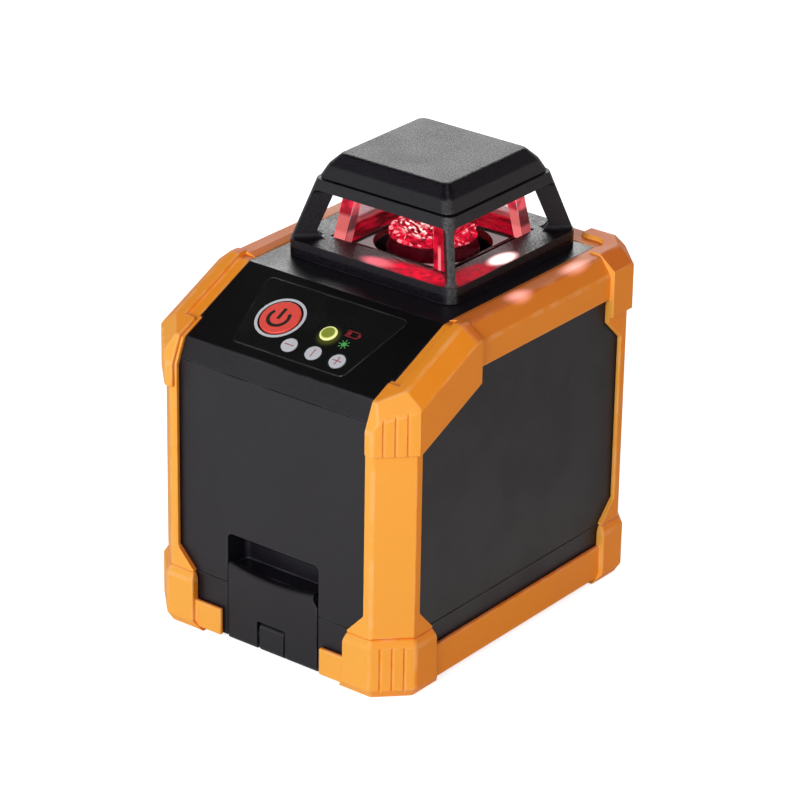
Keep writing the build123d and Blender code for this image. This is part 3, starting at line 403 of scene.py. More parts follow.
def edge_room(edge, sharp):
    """Room for a round at an edge, beside it and along the edges that leave its ends sideways."""
    room = min(face_room(edge, face) for face in edge.link_faces)
    crossed = set()
    for corner in edge.verts:
        for other in corner.link_edges:
            lean = way_out(other, corner).dot(way_out(edge, corner))
            if abs(lean) < sideways:
                room = min(room, other.calc_length() * math.sqrt(1 - lean * lean))
                if other in sharp:
                    crossed.add(corner)
    if len(crossed) == 2:
        room = min(room, edge.calc_length())
    return room


def edge_runs(edges):
    """Edges gathered into runs that go on almost straight from one edge to the next."""
    run_of = {edge: [edge] for edge in edges}
    for edge in edges:
        for corner in edge.verts:
            for other in corner.link_edges:
                follows = other in run_of and way_out(other, corner).dot(way_out(edge, corner)) < -straight_on
                if follows and run_of[other] is not run_of[edge]:
                    run_of[edge].extend(run_of[other])
                    for moved in run_of[other]:
                        run_of[moved] = run_of[edge]
    return list({id(run): run for run in run_of.values()}.values())


def folded_faces(piece):
    """Faces of the plain mesh whose rounded form folds over itself."""
    shaped = piece.evaluated_get(bpy.context.evaluated_depsgraph_get())
    made = shaped.to_mesh()
    made.calc_loop_triangles()
    covered = [0.0] * len(made.polygons)
    for triangle in made.loop_triangles:
        covered[triangle.polygon_index] += triangle.area
    source = made.attributes["source_face"].data
    folded = set()
    for face in made.polygons:
        if covered[face.index] > fold_share * face.area + fold_area:
            folded.add(source[face.index].value)
    shaped.to_mesh_clear()
    return folded


def rounded_copy(node, name, width, material, slot, edge_material=None, segments=3):
    """Copy of a CAD piece whose sharp edges are rounded as far as there is room; it stands for that node."""
    mesh = nodes[node].data.copy()
    mesh.name = name
    shape = bmesh.new()
    shape.from_mesh(mesh)
    bmesh.ops.remove_doubles(shape, verts=shape.verts, dist=weld_reach)
    bmesh.ops.dissolve_limit(shape, angle_limit=flat_turn, verts=shape.verts, edges=shape.edges)
    triangles = [face for face in shape.faces if len(face.verts) == 3]
    bmesh.ops.join_triangles(
        shape, faces=triangles, angle_face_threshold=sharp_turn, angle_shape_threshold=math.pi
    )
    shape.edges.layers.float.new("bevel_weight_edge")
    source = shape.faces.layers.int.new("source_face")
    shape.edges.index_update()
    for index, face in enumerate(shape.faces):
        face[source] = face.index = index
        face.smooth = True
        face.material_index = 0
    paired = [edge for edge in shape.edges if len(edge.link_faces) == 2]
    sharp = {edge for edge in paired if edge.calc_face_angle(0.0) > sharp_turn}
    rounds = []
    for run in edge_runs([edge for edge in paired if edge in sharp]):
        weight = min(1.0, room_share * min(edge_room(edge, sharp) for edge in run) / width)
        beside = {face.index for edge in run for face in edge.link_faces}
        rounds.append({"weight": weight, "edges": [edge.index for edge in run], "faces": beside})
    shape.to_mesh(mesh)
    shape.free()
    piece = stand_in(mesh, name, node, material, slot)
    bevel = piece.modifiers.new("edge_round", "BEVEL")
    bevel.width = width
    bevel.segments = segments
    bevel.limit_method = "WEIGHT"
    bevel.use_clamp_overlap = False
    if edge_material:
        mesh.materials.append(edge_material)
        bevel.material = 1
    folded = set()
    for _ in range(round_tries):
        for run in rounds:
            if run["faces"] & folded:
                run["weight"] *= round_step_down
            for index in run["edges"]:
                mesh.attributes["bevel_weight_edge"].data[index].value = run["weight"]
                mesh.edges[index].use_edge_sharp = run["weight"] < least_round
        mesh.update()
        folded = folded_faces(piece)
        if not folded:
            break
    keep_faces_flat(piece)


def keep_faces_flat(piece):
    """Let the large faces of a smooth piece shade flat, and its rounds take up the change."""
    weight = piece.modifiers.new("flat_faces", "WEIGHTED_NORMAL")
    weight.weight = 100
    weight.keep_sharp = True


black_tone = (0.0045, 0.0031, 0.006)
black_rubbed = (0.022, 0.02, 0.024)
black_gloss = 0.345
case_skin = {"grain": 0.0004, "depth": 0.00002, "gloss": black_gloss}
case_black = moulded_plastic("case_black", black_tone, roughness=0.42, **case_skin)[0]
case_edge = moulded_plastic("case_edge", black_tone, roughness=0.38, edge_patch_tone=black_rubbed, **case_skin)[0]
case_round = 0.00045
rounded_copy("base_shell", "base_tray", case_round, case_black, "black_plastic", case_edge)


# Tripod bush and case screws
# A brass bush with the tripod thread is pressed into the tray, and four steel screws with crossed heads
# come up through the tray into the body. A rubber cord lies in the joint between the two.
def dress(material, *names):
    """Give CAD pieces that stay in view or inside a finished material."""
    for name in names:
        nodes[name].material_slots[0].material = material


def turned_metal(name, colour, roughness, spread=0.12, drift=0.07):
    """Bare metal with fine tool streaks and slow changes of sheen."""
    made, tree, shader = new_material(name)
    streak = noise(object_place(tree), 900.0, 3.0, Distortion=0.3)
    touch = place_group(tree, handling, Span=0.006)
    dark = tuple(c * (1 - spread) for c in colour)
    tint = mix(touch["Smudge"], dark, colour)
    sheen = ramp(streak, 0.3, 0.7, roughness - drift, roughness + drift)
    finish_surface(shader, tint, sheen, streak, depth=0.000008)
    wire(shader, Metallic=1.0)
    return made


def close_rings(shape, rings):
    """Skin between rings of points, closed at both ends."""
    for low, high in zip(rings, rings[1:]):
        for i in range(len(low)):
            j = (i + 1) % len(low)
            shape.faces.new((low[i], low[j], high[j], high[i]))
    shape.faces.new(list(reversed(rings[0])))
    shape.faces.new(rings[-1])


def round_ring(shape, middle, outline, skip=0.0):
    """Ring of points round a middle, from the radius and height of each; skip turns it by part of a step."""
    ring = []
    for i, (radius, z) in enumerate(outline):
        turn = 2 * math.pi * (i + skip) / len(outline)
        place = (middle.x + radius * math.cos(turn), middle.y + radius * math.sin(turn), z)
        ring.append(shape.verts.new(place))
    return ring


def finished_mesh(shape, name):
    """Mesh of a closed shape, with its faces turned outwards."""
    bmesh.ops.recalc_face_normals(shape, faces=shape.faces)
    mesh = bpy.data.meshes.new(name)
    shape.to_mesh(mesh)
    shape.free()
    return mesh


thread_pitch = 0.00127
thread_depth = 0.0006
bore_radius = 0.003175
bore_length = 0.00535
bush_sides = 48
levels_per_turn = 12
thread_crease = math.radians(40)


def bush_outline(outer, low, high):
    """Radius and height of each point of the bush: its outer wall, then the thread from the mouth up."""
    rings = [[(outer, high)] * bush_sides, [(outer, low)] * bush_sides]
    levels = math.ceil(bore_length / thread_pitch * levels_per_turn)
    for level in range(levels + 1):
        rise = bore_length * level / levels
        ease = min(1.0, 2 * rise / thread_pitch, 2 * (bore_length - rise) / thread_pitch)
        turns = [(rise / thread_pitch - i / bush_sides) % 1.0 for i in range(bush_sides)]
        ridges = [thread_depth * ease * (1 - abs(2 * turn - 1)) for turn in turns]
        rings.append([(bore_radius - ridge, low + rise) for ridge in ridges])
    return rings


def threaded_bush():
    """Round bush with a blind bore, whose wall rises and falls once for each turn of the thread."""
    low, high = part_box("tripod_insert")
    middle = (low + high) / 2
    shape = bmesh.new()
    outlines = bush_outline((high.x - low.x) / 2, low.z, high.z)
    close_rings(shape, [round_ring(shape, middle, outline) for outline in outlines])
    for face in shape.faces:
        face.smooth = True
    for edge in shape.edges:
        edge.smooth = edge.calc_face_angle(0.0) < thread_crease
    return finished_mesh(shape, "tripod_bush")


recess_arm = 0.0015
recess_half = 0.0003
recess_depth = 0.0011
mouth_scale = 1.2
end_scale = 0.65


def recess_cutter(node):
    """Tapered crosses that reach up into the heads of four screws round the middle of their box."""
    low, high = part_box(node)
    middle = (low + high) / 2
    quarter = [(recess_arm, recess_half), (recess_half, recess_half), (recess_half, recess_arm)]
    quarters = [Matrix.Rotation(math.radians(90 * turn), 3, "Z") for turn in range(4)]
    outline = [turn @ Vector((a, b, 0)) for turn in quarters for a, b in quarter]
    shape = bmesh.new()
    for right, rear in square_corners:
        own = [
            v.co for v in nodes[node].data.vertices
            if (v.co.x - middle.x) * right > 0 and (v.co.y - middle.y) * rear > 0
        ]
        x = (min(p.x for p in own) + max(p.x for p in own)) / 2
        y = (min(p.y for p in own) + max(p.y for p in own)) / 2
        mouth = Vector((x, y, low.z - recess_depth))
        end = Vector((x, y, low.z + recess_depth))
        levels = ((mouth, mouth_scale), (end, end_scale))
        close_rings(shape, [[shape.verts.new(at + p * scale) for p in outline] for at, scale in levels])
    return finished_mesh(shape, "recess_cutter")


def crossed_screws(node, name, material, slot):
    """Copy of four CAD screws with a cross recess cut into each head; it stands for that node."""
    cutter = new_object("recess_cutter", recess_cutter(node))
    blank = new_object("screw_blank", nodes[node].data.copy())
    blank.modifiers.new("weld", "WELD").merge_threshold = weld_reach
    recess = blank.modifiers.new("recess", "BOOLEAN")
    recess.operation = "DIFFERENCE"
    recess.solver = "EXACT"
    recess.object = cutter
    mesh = bpy.data.meshes.new_from_object(blank.evaluated_get(bpy.context.evaluated_depsgraph_get()))
    for tool in (cutter, blank):
        bpy.data.objects.remove(tool)
    mesh.name = name
    stale = mesh.attributes.get("custom_normal")
    if stale:
        mesh.attributes.remove(stale)
    for face in mesh.polygons:
        face.use_smooth = False
    stand_in(mesh, name, node, material, slot)


insert_brass = turned_metal("insert_brass", (0.72, 0.5, 0.2), roughness=0.3)
screw_steel = turned_metal("screw_steel", (0.56, 0.56, 0.58), roughness=0.3)
seal_tone = (0.012, 0.012, 0.012)
seal_rubber = moulded_plastic("seal_rubber", seal_tone, grain=0.0003, depth=0.00001, roughness=0.6)[0]
stand_in(threaded_bush(), "tripod_bush", "tripod_insert", insert_brass, "insert_brass")
crossed_screws("case_screws", "case_screw_set", screw_steel, "screw_steel")
dress(seal_rubber, "base_seal")


# Battery bay
# Four cells in two rows, steel leaf springs at the back and a steel bridge on the flap. The cells have
# a printed plastic sleeve over a plated steel can.
def facing_parts(tree):
    """The three parts of the direction that a surface faces."""
    return parts_of(tree.nodes.new("ShaderNodeNewGeometry").outputs["Normal"])


copper_from = 0.72


def cell_sleeve():
    """Dark sleeve with a copper band at one end of each cell and bare steel on the end faces."""
    made, tree, shader = new_material("cell_sleeve")
    low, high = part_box("battery_cells")
    cell_length = (high.y - low.y) / 2
    axes = parts_of(object_place(tree))
    along = math_node("DIVIDE", math_node("SUBTRACT", axes["Y"], low.y), cell_length)
    along = math_node("FRACT", along)
    band = math_node("GREATER_THAN", along, copper_from)
    touch = place_group(tree, handling, Span=0.008)
    sleeve = mix(touch["Smudge"], (0.012, 0.014, 0.02), (0.02, 0.022, 0.03))
    copper = mix(touch["Smudge"], (0.42, 0.16, 0.05), (0.5, 0.2, 0.07))
    wrap = mix(band, sleeve, copper)
    end = math_node("GREATER_THAN", math_node("ABSOLUTE", facing_parts(tree)["Y"]), 0.7)
    colour = mix(end, wrap, (0.55, 0.55, 0.57))
    roughness = ramp(touch["Smudge"], 0.0, 1.0, 0.25, 0.36)
    finish_surface(shader, colour, roughness, touch["Smudge"], depth=0.00001)
    wire(shader, Metallic=end)
    return made


dress(cell_sleeve(), "battery_cells")
dress(screw_steel, "battery_springs", "door_contact")

# Battery flap
# Black moulded flap on a round-ended steel pin at its foot. A slot at the foot straddles the fixed lug,
# and the hollowed top edge is rounded over for a fingertip.
flap_round = 0.00035
pin_round = 0.0004
rounded_copy("battery_door", "battery_flap", flap_round, case_black, "black_plastic", case_edge)
rounded_copy("door_hinge_pin", "hinge_pin", pin_round, screw_steel, "screw_steel")

# Body
# The upright walls in the same black plastic as the tray, with the finger recess over the flap and
# the inner floor that carries the gimbal.
rounded_copy("main_housing", "body_walls", case_round, case_black, "black_plastic", case_edge)

# Gimbal and pendulum
# Cast aluminium frame, ring and pendulum on steel pins and bearings, with a zinc weight and a copper
# damping plate over four plated magnets. The laser barrel points up at the prism.
hung_castings = ("gimbal_frame", "gimbal_ring", "pendulum_body", "pendulum_weight")
for name, colour, roughness, pieces in (
    ("cast_aluminium", (0.62, 0.62, 0.63), 0.45, hung_castings),
    ("bearing_steel", (0.5, 0.5, 0.52), 0.2, ("roll_bearings", "pitch_bearings", "roll_pins", "pitch_pins")),
    ("damper_copper", (0.72, 0.36, 0.2), 0.35, ("damping_plate",)),
    ("magnet_plating", (0.66, 0.66, 0.67), 0.16, ("damping_magnets",)),
    ("black_anodised", (0.03, 0.028, 0.03), 0.28, ("prism_holder",)),
):
    dress(turned_metal(name, colour, roughness), *pieces)
dress(screw_steel, "gimbal_frame_screws", "weight_screw", "calibration_screws")
dress(insert_brass, "laser_module")


# Top cover
# Black moulded cover with a leaning band at the front, the sloped panel and the flat deck. Its skin is
# a little coarser than the walls', and smoother on the slope round the film. The slope is also painted
# a darker tone as shade.
def wired(shader, name):
    """Socket that feeds an input of a shader."""
    return shader.inputs[name].links[0].from_socket


cover_black, tree, shader = moulded_plastic(
    "cover_black", black_tone, grain=0.0005, depth=0.0001, roughness=0.44, spread=0.5,
    gloss=black_gloss, grit=0.06,
)
facing = facing_parts(tree)
forward = times(facing["Y"], -1.0)
slope = times(ramp(forward, 0.25, 0.35), ramp(facing["Z"], 0.7, 0.85))
# Painted shade: the slope's faces are given this darker tone.
slope_shade_tone = (0.0018, 0.0013, 0.0019)
slope_roughness = 0.28
cover_round = 0.0004
deck_polish = ramp(facing["Z"], 0.96, 0.99, 0.0, 0.04)
dull = math_node("SUBTRACT", wired(shader, "Roughness"), deck_polish)
dull = ramp(slope, 0.0, 1.0, dull, slope_roughness)
tint = mix(slope, wired(shader, "Base Color"), slope_shade_tone)
wire(shader, Base_Color=tint, Roughness=dull)
rounded_copy("top_cover", "cover_body", cover_round, cover_black, "black_plastic", case_edge)
dress(screw_steel, "cover_screws")

# Board, switches and lamp
# A green laminate board under the panel with four small switches and a lamp. Steel screws hold it to
# posts inside the cover.
for node, name, tone, grain, depth, roughness in (
    ("control_board", "board_green", (0.02, 0.15, 0.06), 0.0015, 0.00001, 0.4),
    ("tact_switches", "switch_black", (0.02, 0.02, 0.022), 0.0004, 0.00001, 0.45),
    ("status_led", "lamp_epoxy", (0.5, 0.55, 0.1), 0.001, 0.000005, 0.2),
):
    dress(moulded_plastic(name, tone, grain, depth, roughness)[0], node)
dress(screw_steel, "board_screws")

# Panel film
# Thin black plastic film let into the slope and glued down, with a smooth satin face and a fine cut edge
# painted paler in patches as a highlight. The lamp throws a faint halo on it.
panel_normal = -Vector(next(j["axis"] for j in frame["joints"] if j["name"] == "power_button_press"))
panel_right = Vector((1, 0, 0))
panel_up = panel_normal.cross(panel_right)
face_depth = 0.0004


def face_middle(node):
    """Middle of the outer face of a piece on the panel."""
    points = [v.co for v in nodes[node].data.vertices]
    top = max(p.dot(panel_normal) for p in points)
    across = [p.x for p in points]
    face = [p.dot(panel_up) for p in points if p.dot(panel_normal) > top - face_depth]
    middle = panel_right * (min(across) + max(across)) / 2 + panel_up * (min(face) + max(face)) / 2
    return middle + panel_normal * top


def vector_node(operation, first, second=(0, 0, 0)):
    """Outputs of one sum on two vectors or vector sockets."""
    return sum_node("ShaderNodeVectorMath", operation, first, second)


def light_up(shader, colour, strength=1.0):
    """Let a surface give off light of its own in a colour that varies."""
    wire(shader, Emission_Color=colour, Emission_Strength=strength)


unlit = (0, 0, 0)
halo_green = (0.055, 0.06, 0.006)
film_tone = (0.0032, 0.0032, 0.0036)
film_edge_tone = (0.006, 0.006, 0.007)
film_edge_highlight = (0.045, 0.045, 0.05)
film_skin = {"grain": 0.0006, "depth": 0.000006}
film_round = 0.0002
film_face = max(v.co.dot(panel_normal) for v in nodes["keypad_overlay"].data.vertices)
lens_middle = face_middle("status_lens")
halo_middle = lens_middle + panel_right * 0.0006 - panel_up * 0.0008
film_black, tree, shader = moulded_plastic("film_black", film_tone, roughness=0.26, **film_skin)
# The film's rounded cut edge is painted paler in patches, as a highlight.
film_edge = moulded_plastic("film_edge", film_edge_tone, roughness=0.2, edge_patch_tone=film_edge_highlight, **film_skin)[0]
away = vector_node("DISTANCE", object_place(tree), halo_middle)["Value"]
halo = ramp(away, 0.0026, 0.005, 1.0, 0.0)
light_up(shader, mix(times(halo, halo), unlit, halo_green))
rounded_copy("keypad_overlay", "panel_film", film_round, film_black, "film_plastic", film_edge, segments=2)

# Keys
# One red power key and three pale grey mode keys, moulded plastic with a soft round on the rim. They
# stand a little proud of the film.
red_tone = (0.86, 0.08, 0.058)
grey_tone = (0.6, 0.61, 0.65)
power_round = 0.0003
mode_round = 0.00008
key_red = moulded_plastic("key_red", red_tone, grain=0.0008, depth=0.00001, roughness=0.4, spread=0.06)[0]
key_grey = moulded_plastic(
    "key_grey", grey_tone, grain=0.0006, depth=0.000006, roughness=0.42, spread=0.04
)[0]
rounded_copy("power_button", "power_cap", power_round, key_red, "red_plastic")
for node in ("horizontal_key", "vertical_key", "cross_key"):
    rounded_copy(node, node.replace("key", "cap"), mode_round, key_grey, "grey_plastic")

# Panel print
# Screen-printed signs: a pale ring round the power key, the power sign on it, thin red lines on the
# mode keys, a red battery sign and a green sun sign. Each is a very thin layer of ink.
ink_depth = 0.00004
ink_weld = 0.000001
fine_stroke = 0.0003
key_stroke = 0.0032


def printed_ink(name, colour):
    """Screen ink: an even tone with a faint mesh in it."""
    return moulded_plastic(name, colour, grain=0.0003, depth=0.000004, roughness=0.5, spread=0.06)[0]


def flat_print(name, middle, patches, material, body, slot):
    """Thin layer of ink from flat patches of (right, up) points round a middle on the panel."""
    shape = bmesh.new()
    for patch in patches:
        corners = [shape.verts.new(middle + panel_right * a + panel_up * b) for a, b in patch]
        shape.faces.new(corners)
    bmesh.ops.remove_doubles(shape, verts=shape.verts, dist=ink_weld)
    under = list(shape.faces)
    rims = [edge.verts[:] for edge in shape.edges if edge.is_boundary]
    above = {corner: shape.verts.new(corner.co + panel_normal * ink_depth) for corner in list(shape.verts)}
    for face in under:
        shape.faces.new([above[corner] for corner in face.verts])
    for first, second in rims:
        shape.faces.new((first, second, above[second], above[first]))
    mesh = finished_mesh(shape, name)
    mesh.materials.append(material)
    put_in_place(mesh, name, body, slot)


def band(inner, outer, start=0.0, end=360.0, steps=48):
    """Ring or part of a ring as flat patches; angles run anticlockwise from the right."""
    turns = [math.radians(start + (end - start) * i / steps) for i in range(steps + 1)]
    near = [(inner * math.cos(t), inner * math.sin(t)) for t in turns]
    far = [(outer * math.cos(t), outer * math.sin(t)) for t in turns]
    return [[near[i], far[i], far[i + 1], near[i + 1]] for i in range(steps)]


def bar(length, width, turn=0.0, centre=(0.0, 0.0)):
    """Straight stroke as one flat patch."""
    c = math.cos(math.radians(turn))
    s = math.sin(math.radians(turn))
    corners = [(a * length / 2, b * width / 2) for a, b in square_corners]
    return [[(centre[0] + a * c - b * s, centre[1] + a * s + b * c) for a, b in corners]]


ink_pale = printed_ink("ink_pale", grey_tone)
ink_black = printed_ink("ink_black", (0.006, 0.004, 0.004))
ink_red = printed_ink("ink_red", (0.4, 0.04, 0.055))
ink_deep_red = printed_ink("ink_deep_red", (0.3, 0.016, 0.022))
ink_green = printed_ink("ink_green", (0.08, 0.4, 0.1))
power_middle = face_middle("power_button")
on_film = panel_normal * (film_face - power_middle.dot(panel_normal))
pale_ring = band(inner=0.0071, outer=0.00803)
flat_print("power_ring", power_middle + on_film, pale_ring, ink_pale, "case", "grey_plastic")
power_sign = band(inner=0.00275, outer=0.0039, start=146, end=402, steps=40)
power_sign += bar(length=0.0045, width=0.0011, turn=90, centre=(0, 0.00165))
sign_middle = power_middle - panel_right * 0.0003 - panel_up * 0.0003
flat_print("power_sign", sign_middle, power_sign, ink_black, "power_button", "black_plastic")
level_line = bar(key_stroke, fine_stroke)
key_signs = {
    "horizontal_key": level_line,
    "vertical_key": bar(key_stroke, fine_stroke, 90),
    "cross_key": list(level_line),
}
for up in (0.000875, -0.000875):
    key_signs["cross_key"] += bar(0.00145, fine_stroke, 90, (0, up))
for node, sign in key_signs.items():
    flat_print(node + "_sign", face_middle(node), sign, ink_red, node, "red_plastic")

lens_on_film = lens_middle + panel_normal * (film_face - lens_middle.dot(panel_normal))
battery_middle = lens_on_film + panel_right * 0.0073 + panel_up * 0.0024
battery_strokes = [(0.0044, fine_stroke, 0, (0, up)) for up in (0.0011, -0.0011)]
battery_strokes += [(0.0019, fine_stroke, 90, (right, 0)) for right in (-0.00205, 0.00205)]
battery_strokes += [(0.0011, 0.0005, 90, (0.00255, 0)), (0.0014, 0.0009, 90, (-0.0012, 0))]
battery_sign = [patch for stroke in battery_strokes for patch in bar(*stroke)]
flat_print("battery_sign", battery_middle, battery_sign, ink_deep_red, "case", "red_plastic")
sun_middle = lens_on_film + panel_right * 0.0071 - panel_up * 0.0019
sun_sign = band(inner=0.0, outer=0.0009, steps=16)
ray_ring = 0.00145
for turn in range(0, 360, 45):
    ray_middle = (ray_ring * math.cos(math.radians(turn)), ray_ring * math.sin(math.radians(turn)))
    sun_sign += bar(0.0007, 0.00026, turn, ray_middle)
flat_print("sun_sign", sun_middle, sun_sign, ink_green, "case", "lamp_plastic")

# Lamp lens
# A clear yellow-green dome, moulded in plastic and set in the slope over the lamp. The lit rim is brighter
# than the middle.
lens_tone = (0.2, 0.23, 0.03)
lit_middle = (0.07, 0.085, 0.01)
lit_rim = (0.75, 0.78, 0.35)
lens_round = 0.00015
lamp_lens, tree, shader = moulded_plastic(
    "lamp_lens", lens_tone, grain=0.001, depth=0.000005, roughness=0.18, spread=0.1
)
away = vector_node("DISTANCE", object_place(tree), lens_middle)["Value"]
light_up(shader, mix(ramp(away, 0.0019, 0.0024), lit_middle, lit_rim))
rounded_copy("status_lens", "lamp_dome", lens_round, lamp_lens, "lamp_plastic", segments=2)


# Bumpers
# Soft orange rubber moulded over the corners and edges, rounder than the plastic, with grip grooves at
# the corners. It is painted yellower as lit where it faces forward and darker and redder as shaded on
# level tops, its rounded edges have paler patches, and two spots of laser light are painted on the right
# strip.
def glow_patch(place, middle, reach, core=0.35):
    """Soft patch of light round a middle, with its own reach along each axis, in millimetres."""
    offset = vector_node("SUBTRACT", place, Vector(middle) / 1000)["Vector"]
    scaled = vector_node("DIVIDE", offset, Vector(reach) / 1000)["Vector"]
    return ramp(vector_node("LENGTH", scaled)["Value"], core, 1.0, 1.0, 0.0)


rubber_aside = ((0.88, 0.27, 0.011), (0.92, 0.295, 0.015))
rubber_lit_forward = (0.92, 0.4, 0.055)
rubber_shaded_level = (0.8, 0.19, 0.02)
rubber_edge_pale = (1.0, 0.75, 0.5)
edge_pale_share = 0.14
spot_pink = (0.9, 0.38, 0.35)
strip_spots = (((42.2, 2.4, 109.3), (4.2, 7.5, 3.5)), ((42.3, 30.4, 109.3), (3.6, 9.0, 3.5)))
bumper_round = 0.0008


def bumper_rubber(name, edge_patch_tone=None):
    """Orange rubber: slow colour drift, a painted lit tone on forward faces and a painted shaded tone on
    level tops, paler edge patches, painted laser spots and a very fine matt skin.
    """
    made, tree, shader = new_material(name)
    skin = place_group(tree, moulded_grain, Size=0.0003)
    touch = place_group(tree, handling, Span=0.03)
    facing = facing_parts(tree)
    forward = times(facing["Y"], -1.0)
    # Painted light and shade: forward faces get a yellower lit tone, level tops a darker, redder shaded tone.
    level = ramp(facing["Z"], 0.45, 0.75)
    level = times(level, ramp(forward, 0.1, 0.35, 1.0, 0.0))
    aside = mix(touch["Smudge"], *rubber_aside)
    colour = mix(ramp(forward, 0.3, 0.9), aside, rubber_lit_forward)
    colour = mix(level, colour, rubber_shaded_level)
    # Paler patches on the rounded edges, where an edge tone is given.
    if edge_patch_tone:
        pale_mask = times(place_group(tree, edge_patches, Patch=0.006)["Mask"], edge_pale_share)
        colour = mix(pale_mask, colour, edge_patch_tone)
    place = object_place(tree)
    spots = [glow_patch(place, middle, reach, core=0.0) for middle, reach in strip_spots]
    light_up(shader, mix(larger(*spots), unlit, spot_pink))
    sheen = ramp(touch["Smudge"], 0.0, 1.0, 0.48, 0.58)
    finish_surface(shader, colour, sheen, skin["Height"], depth=0.00002)
    wire(shader, Specular_IOR_Level=0.3)
    return made


orange_rubber = bumper_rubber("bumper_rubber")
orange_edge = bumper_rubber("bumper_edge", rubber_edge_pale)
for node, name in (("lower_bumper", "foot_bumper"), ("upper_bumper", "edge_bumper")):
    rounded_copy(node, name, bumper_round, orange_rubber, "orange_rubber", orange_edge, segments=4)


# Turret cage
# Black moulded cage screwed to the deck: a ring with a holed floor, four leaning blades and a rim. Its
# front right corner has a painted pale highlight; painted laser light lies on the ring's ledge and floor,
# with a painted red glow low in the crown's hole, a painted grey sheen on the sunk floor and a painted
# highlight on the hole's rim.
corner_highlight_tone = (0.06, 0.06, 0.063)


def paint_corner_highlight(shader):
    """Painted pale, speckled highlight on the front right corner of a turret piece, on faces turned forward
    and to the right.
    """
    tree = shader.id_data
    facing = facing_parts(tree)
    forward = times(facing["Y"], -1.0)
    pale_mask = times(ramp(facing["X"], 0.3, 0.55), ramp(forward, 0.3, 0.55))
    axes = parts_of(object_place(tree))
    near = math_node("SUBTRACT", axes["X"], axes["Y"])
    pale_mask = times(pale_mask, ramp(near, 0.006, 0.014))
    speck = ramp(place_group(tree, edge_patches, Patch=0.0008)["Mask"], 0.0, 1.0, 0.45, 1.0)
    highlighted = mix(times(pale_mask, speck), wired(shader, "Base Color"), corner_highlight_tone)
    wire(shader, Base_Color=highlighted)


laser_red = (0.8, 0.004, 0.03)
laser_pale = (1.0, 0.5, 0.5)
laser_white = (1.0, 0.86, 0.84)
front_pink = (0.75, 0.12, 0.16)
sunk_floor_sheen = (0.23, 0.19, 0.19)
hole_wall_glow = (0.04, 0.0005, 0.001)
rim_highlight_grey = (0.5, 0.4, 0.4)
front_ledge = ((15, -12, 113.8), (20, 6, 4))
right_ledge = ((28.5, -2, 113.8), (6, 15, 4))
floor_pool = ((9, -4, 111), (18, 9, 3))
crown_hole = ((0, 16, 109), (19, 19, 1000))
hole_rim = ((3, -1, 111), (13, 4.5, 1.5))
front_spot = ((1.5, -12.7, 113.8), (7.5, 4, 3))
right_spot = ((28.4, 13, 113.8), (4.0, 7.8, 3))
floor_roughness = 0.22
cage_glow = 1.2
cage_round = 0.0004
cage_skin = {"grain": 0.0005, "gloss": black_gloss}
turret_black, tree, shader = moulded_plastic(
    "turret_black", black_tone, depth=0.0002, roughness=0.46, spread=0.7, grit=0.1, **cage_skin
)
turret_edge, edge_tree, edge_shader = moulded_plastic(
    "turret_edge", black_tone, depth=0.00005, roughness=0.4, edge_patch_tone=black_rubbed, **cage_skin
)
place = object_place(tree)
height = parts_of(place)["Z"]
upward = ramp(facing_parts(tree)["Z"], 0.3, 0.8)
streak = ramp(noise(place, 420.0, 4.0), 0.3, 0.65, 0.45, 1.0)
# Painted laser light: streaked red pools on the right and front ledges and on the floor, on faces turned up.
spill = times(glow_patch(place, *right_ledge), 0.6)
spill = larger(glow_patch(place, *front_ledge), spill)
spill = larger(spill, times(glow_patch(place, *floor_pool), 0.4))
spill = times(times(spill, streak), upward)
# Painted red glow low in the crown's hole, and a painted grey sheen on the sunk floor.
hole = glow_patch(place, *crown_hole, core=0.96)
hole = times(hole, ramp(height, 0.1107, 0.111, 1.0, 0.0))
sunk = times(ramp(height, 0.1111, 0.1113, 1.0, 0.0), upward)
glow = mix(sunk, mix(hole, unlit, hole_wall_glow), sunk_floor_sheen)
glow = mix(spill, glow, laser_red)
# Painted pink laser spot on the front ledge, and a painted pale to white hot spot on the right ledge.
front = times(glow_patch(place, *front_spot), upward)
glow = mix(front, glow, front_pink)
right = times(glow_patch(place, *right_spot, core=0.55), upward)
hot = mix(ramp(right, 0.5, 1.0), laser_pale, laser_white)
light_up(shader, mix(right, glow, hot), cage_glow)
dull = math_node("ADD", wired(shader, "Roughness"), times(spill, 0.4))
wire(shader, Roughness=ramp(height, 0.1112, 0.1116, floor_roughness, dull))
# Painted pale highlight on the hole's near rim, on the rounded edges.
rim = glow_patch(object_place(edge_tree), *hole_rim)
light_up(edge_shader, mix(rim, unlit, rim_highlight_grey))
# Painted pale highlight on the cage's front right corner.
paint_corner_highlight(shader)
rounded_copy("turret_frame", "turret_cage", cage_round, turret_black, "black_plastic", turret_edge)
dress(screw_steel, "turret_screws")
dress(seal_rubber, "window_gasket")


# Turret windows
# Four thick clear panes that lean inwards. Their cut ends pipe the laser light and glow pink, and the
# far panes catch streaks of it on their inner faces.
turret_low, turret_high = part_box("turret_frame")
turret_middle = (turret_low + turret_high) / 2
pane_foot = 0.1116
pane_lean = 0.149
pane_round = 0.00025
low_end_top = (0.115, 0.1165)
high_end_foot = (0.1203, 0.1218)
wash_top = (0.1184, 0.1172)
line_place = 0.0192
line_red = (0.9, 0.25, 0.28)
near_reds = ((0.2, 0.001, 0.008), (0.62, 0.006, 0.03))
wash_reds = ((0.05, 0.0, 0.001), (0.4, 0.001, 0.014))
inner_glow = (0.12, 0.055, 0.06)
streak_stretch = Vector((110, 110, 620))
clear_tones = ((0.97, 0.97, 0.97), (1.0, 1.0, 1.0))
inner_glow_tint = (1.0, 0.82, 0.85)
wash_tone = (0.015, 0.0001, 0.0002)
end_tone = (0.04, 0.003, 0.004)


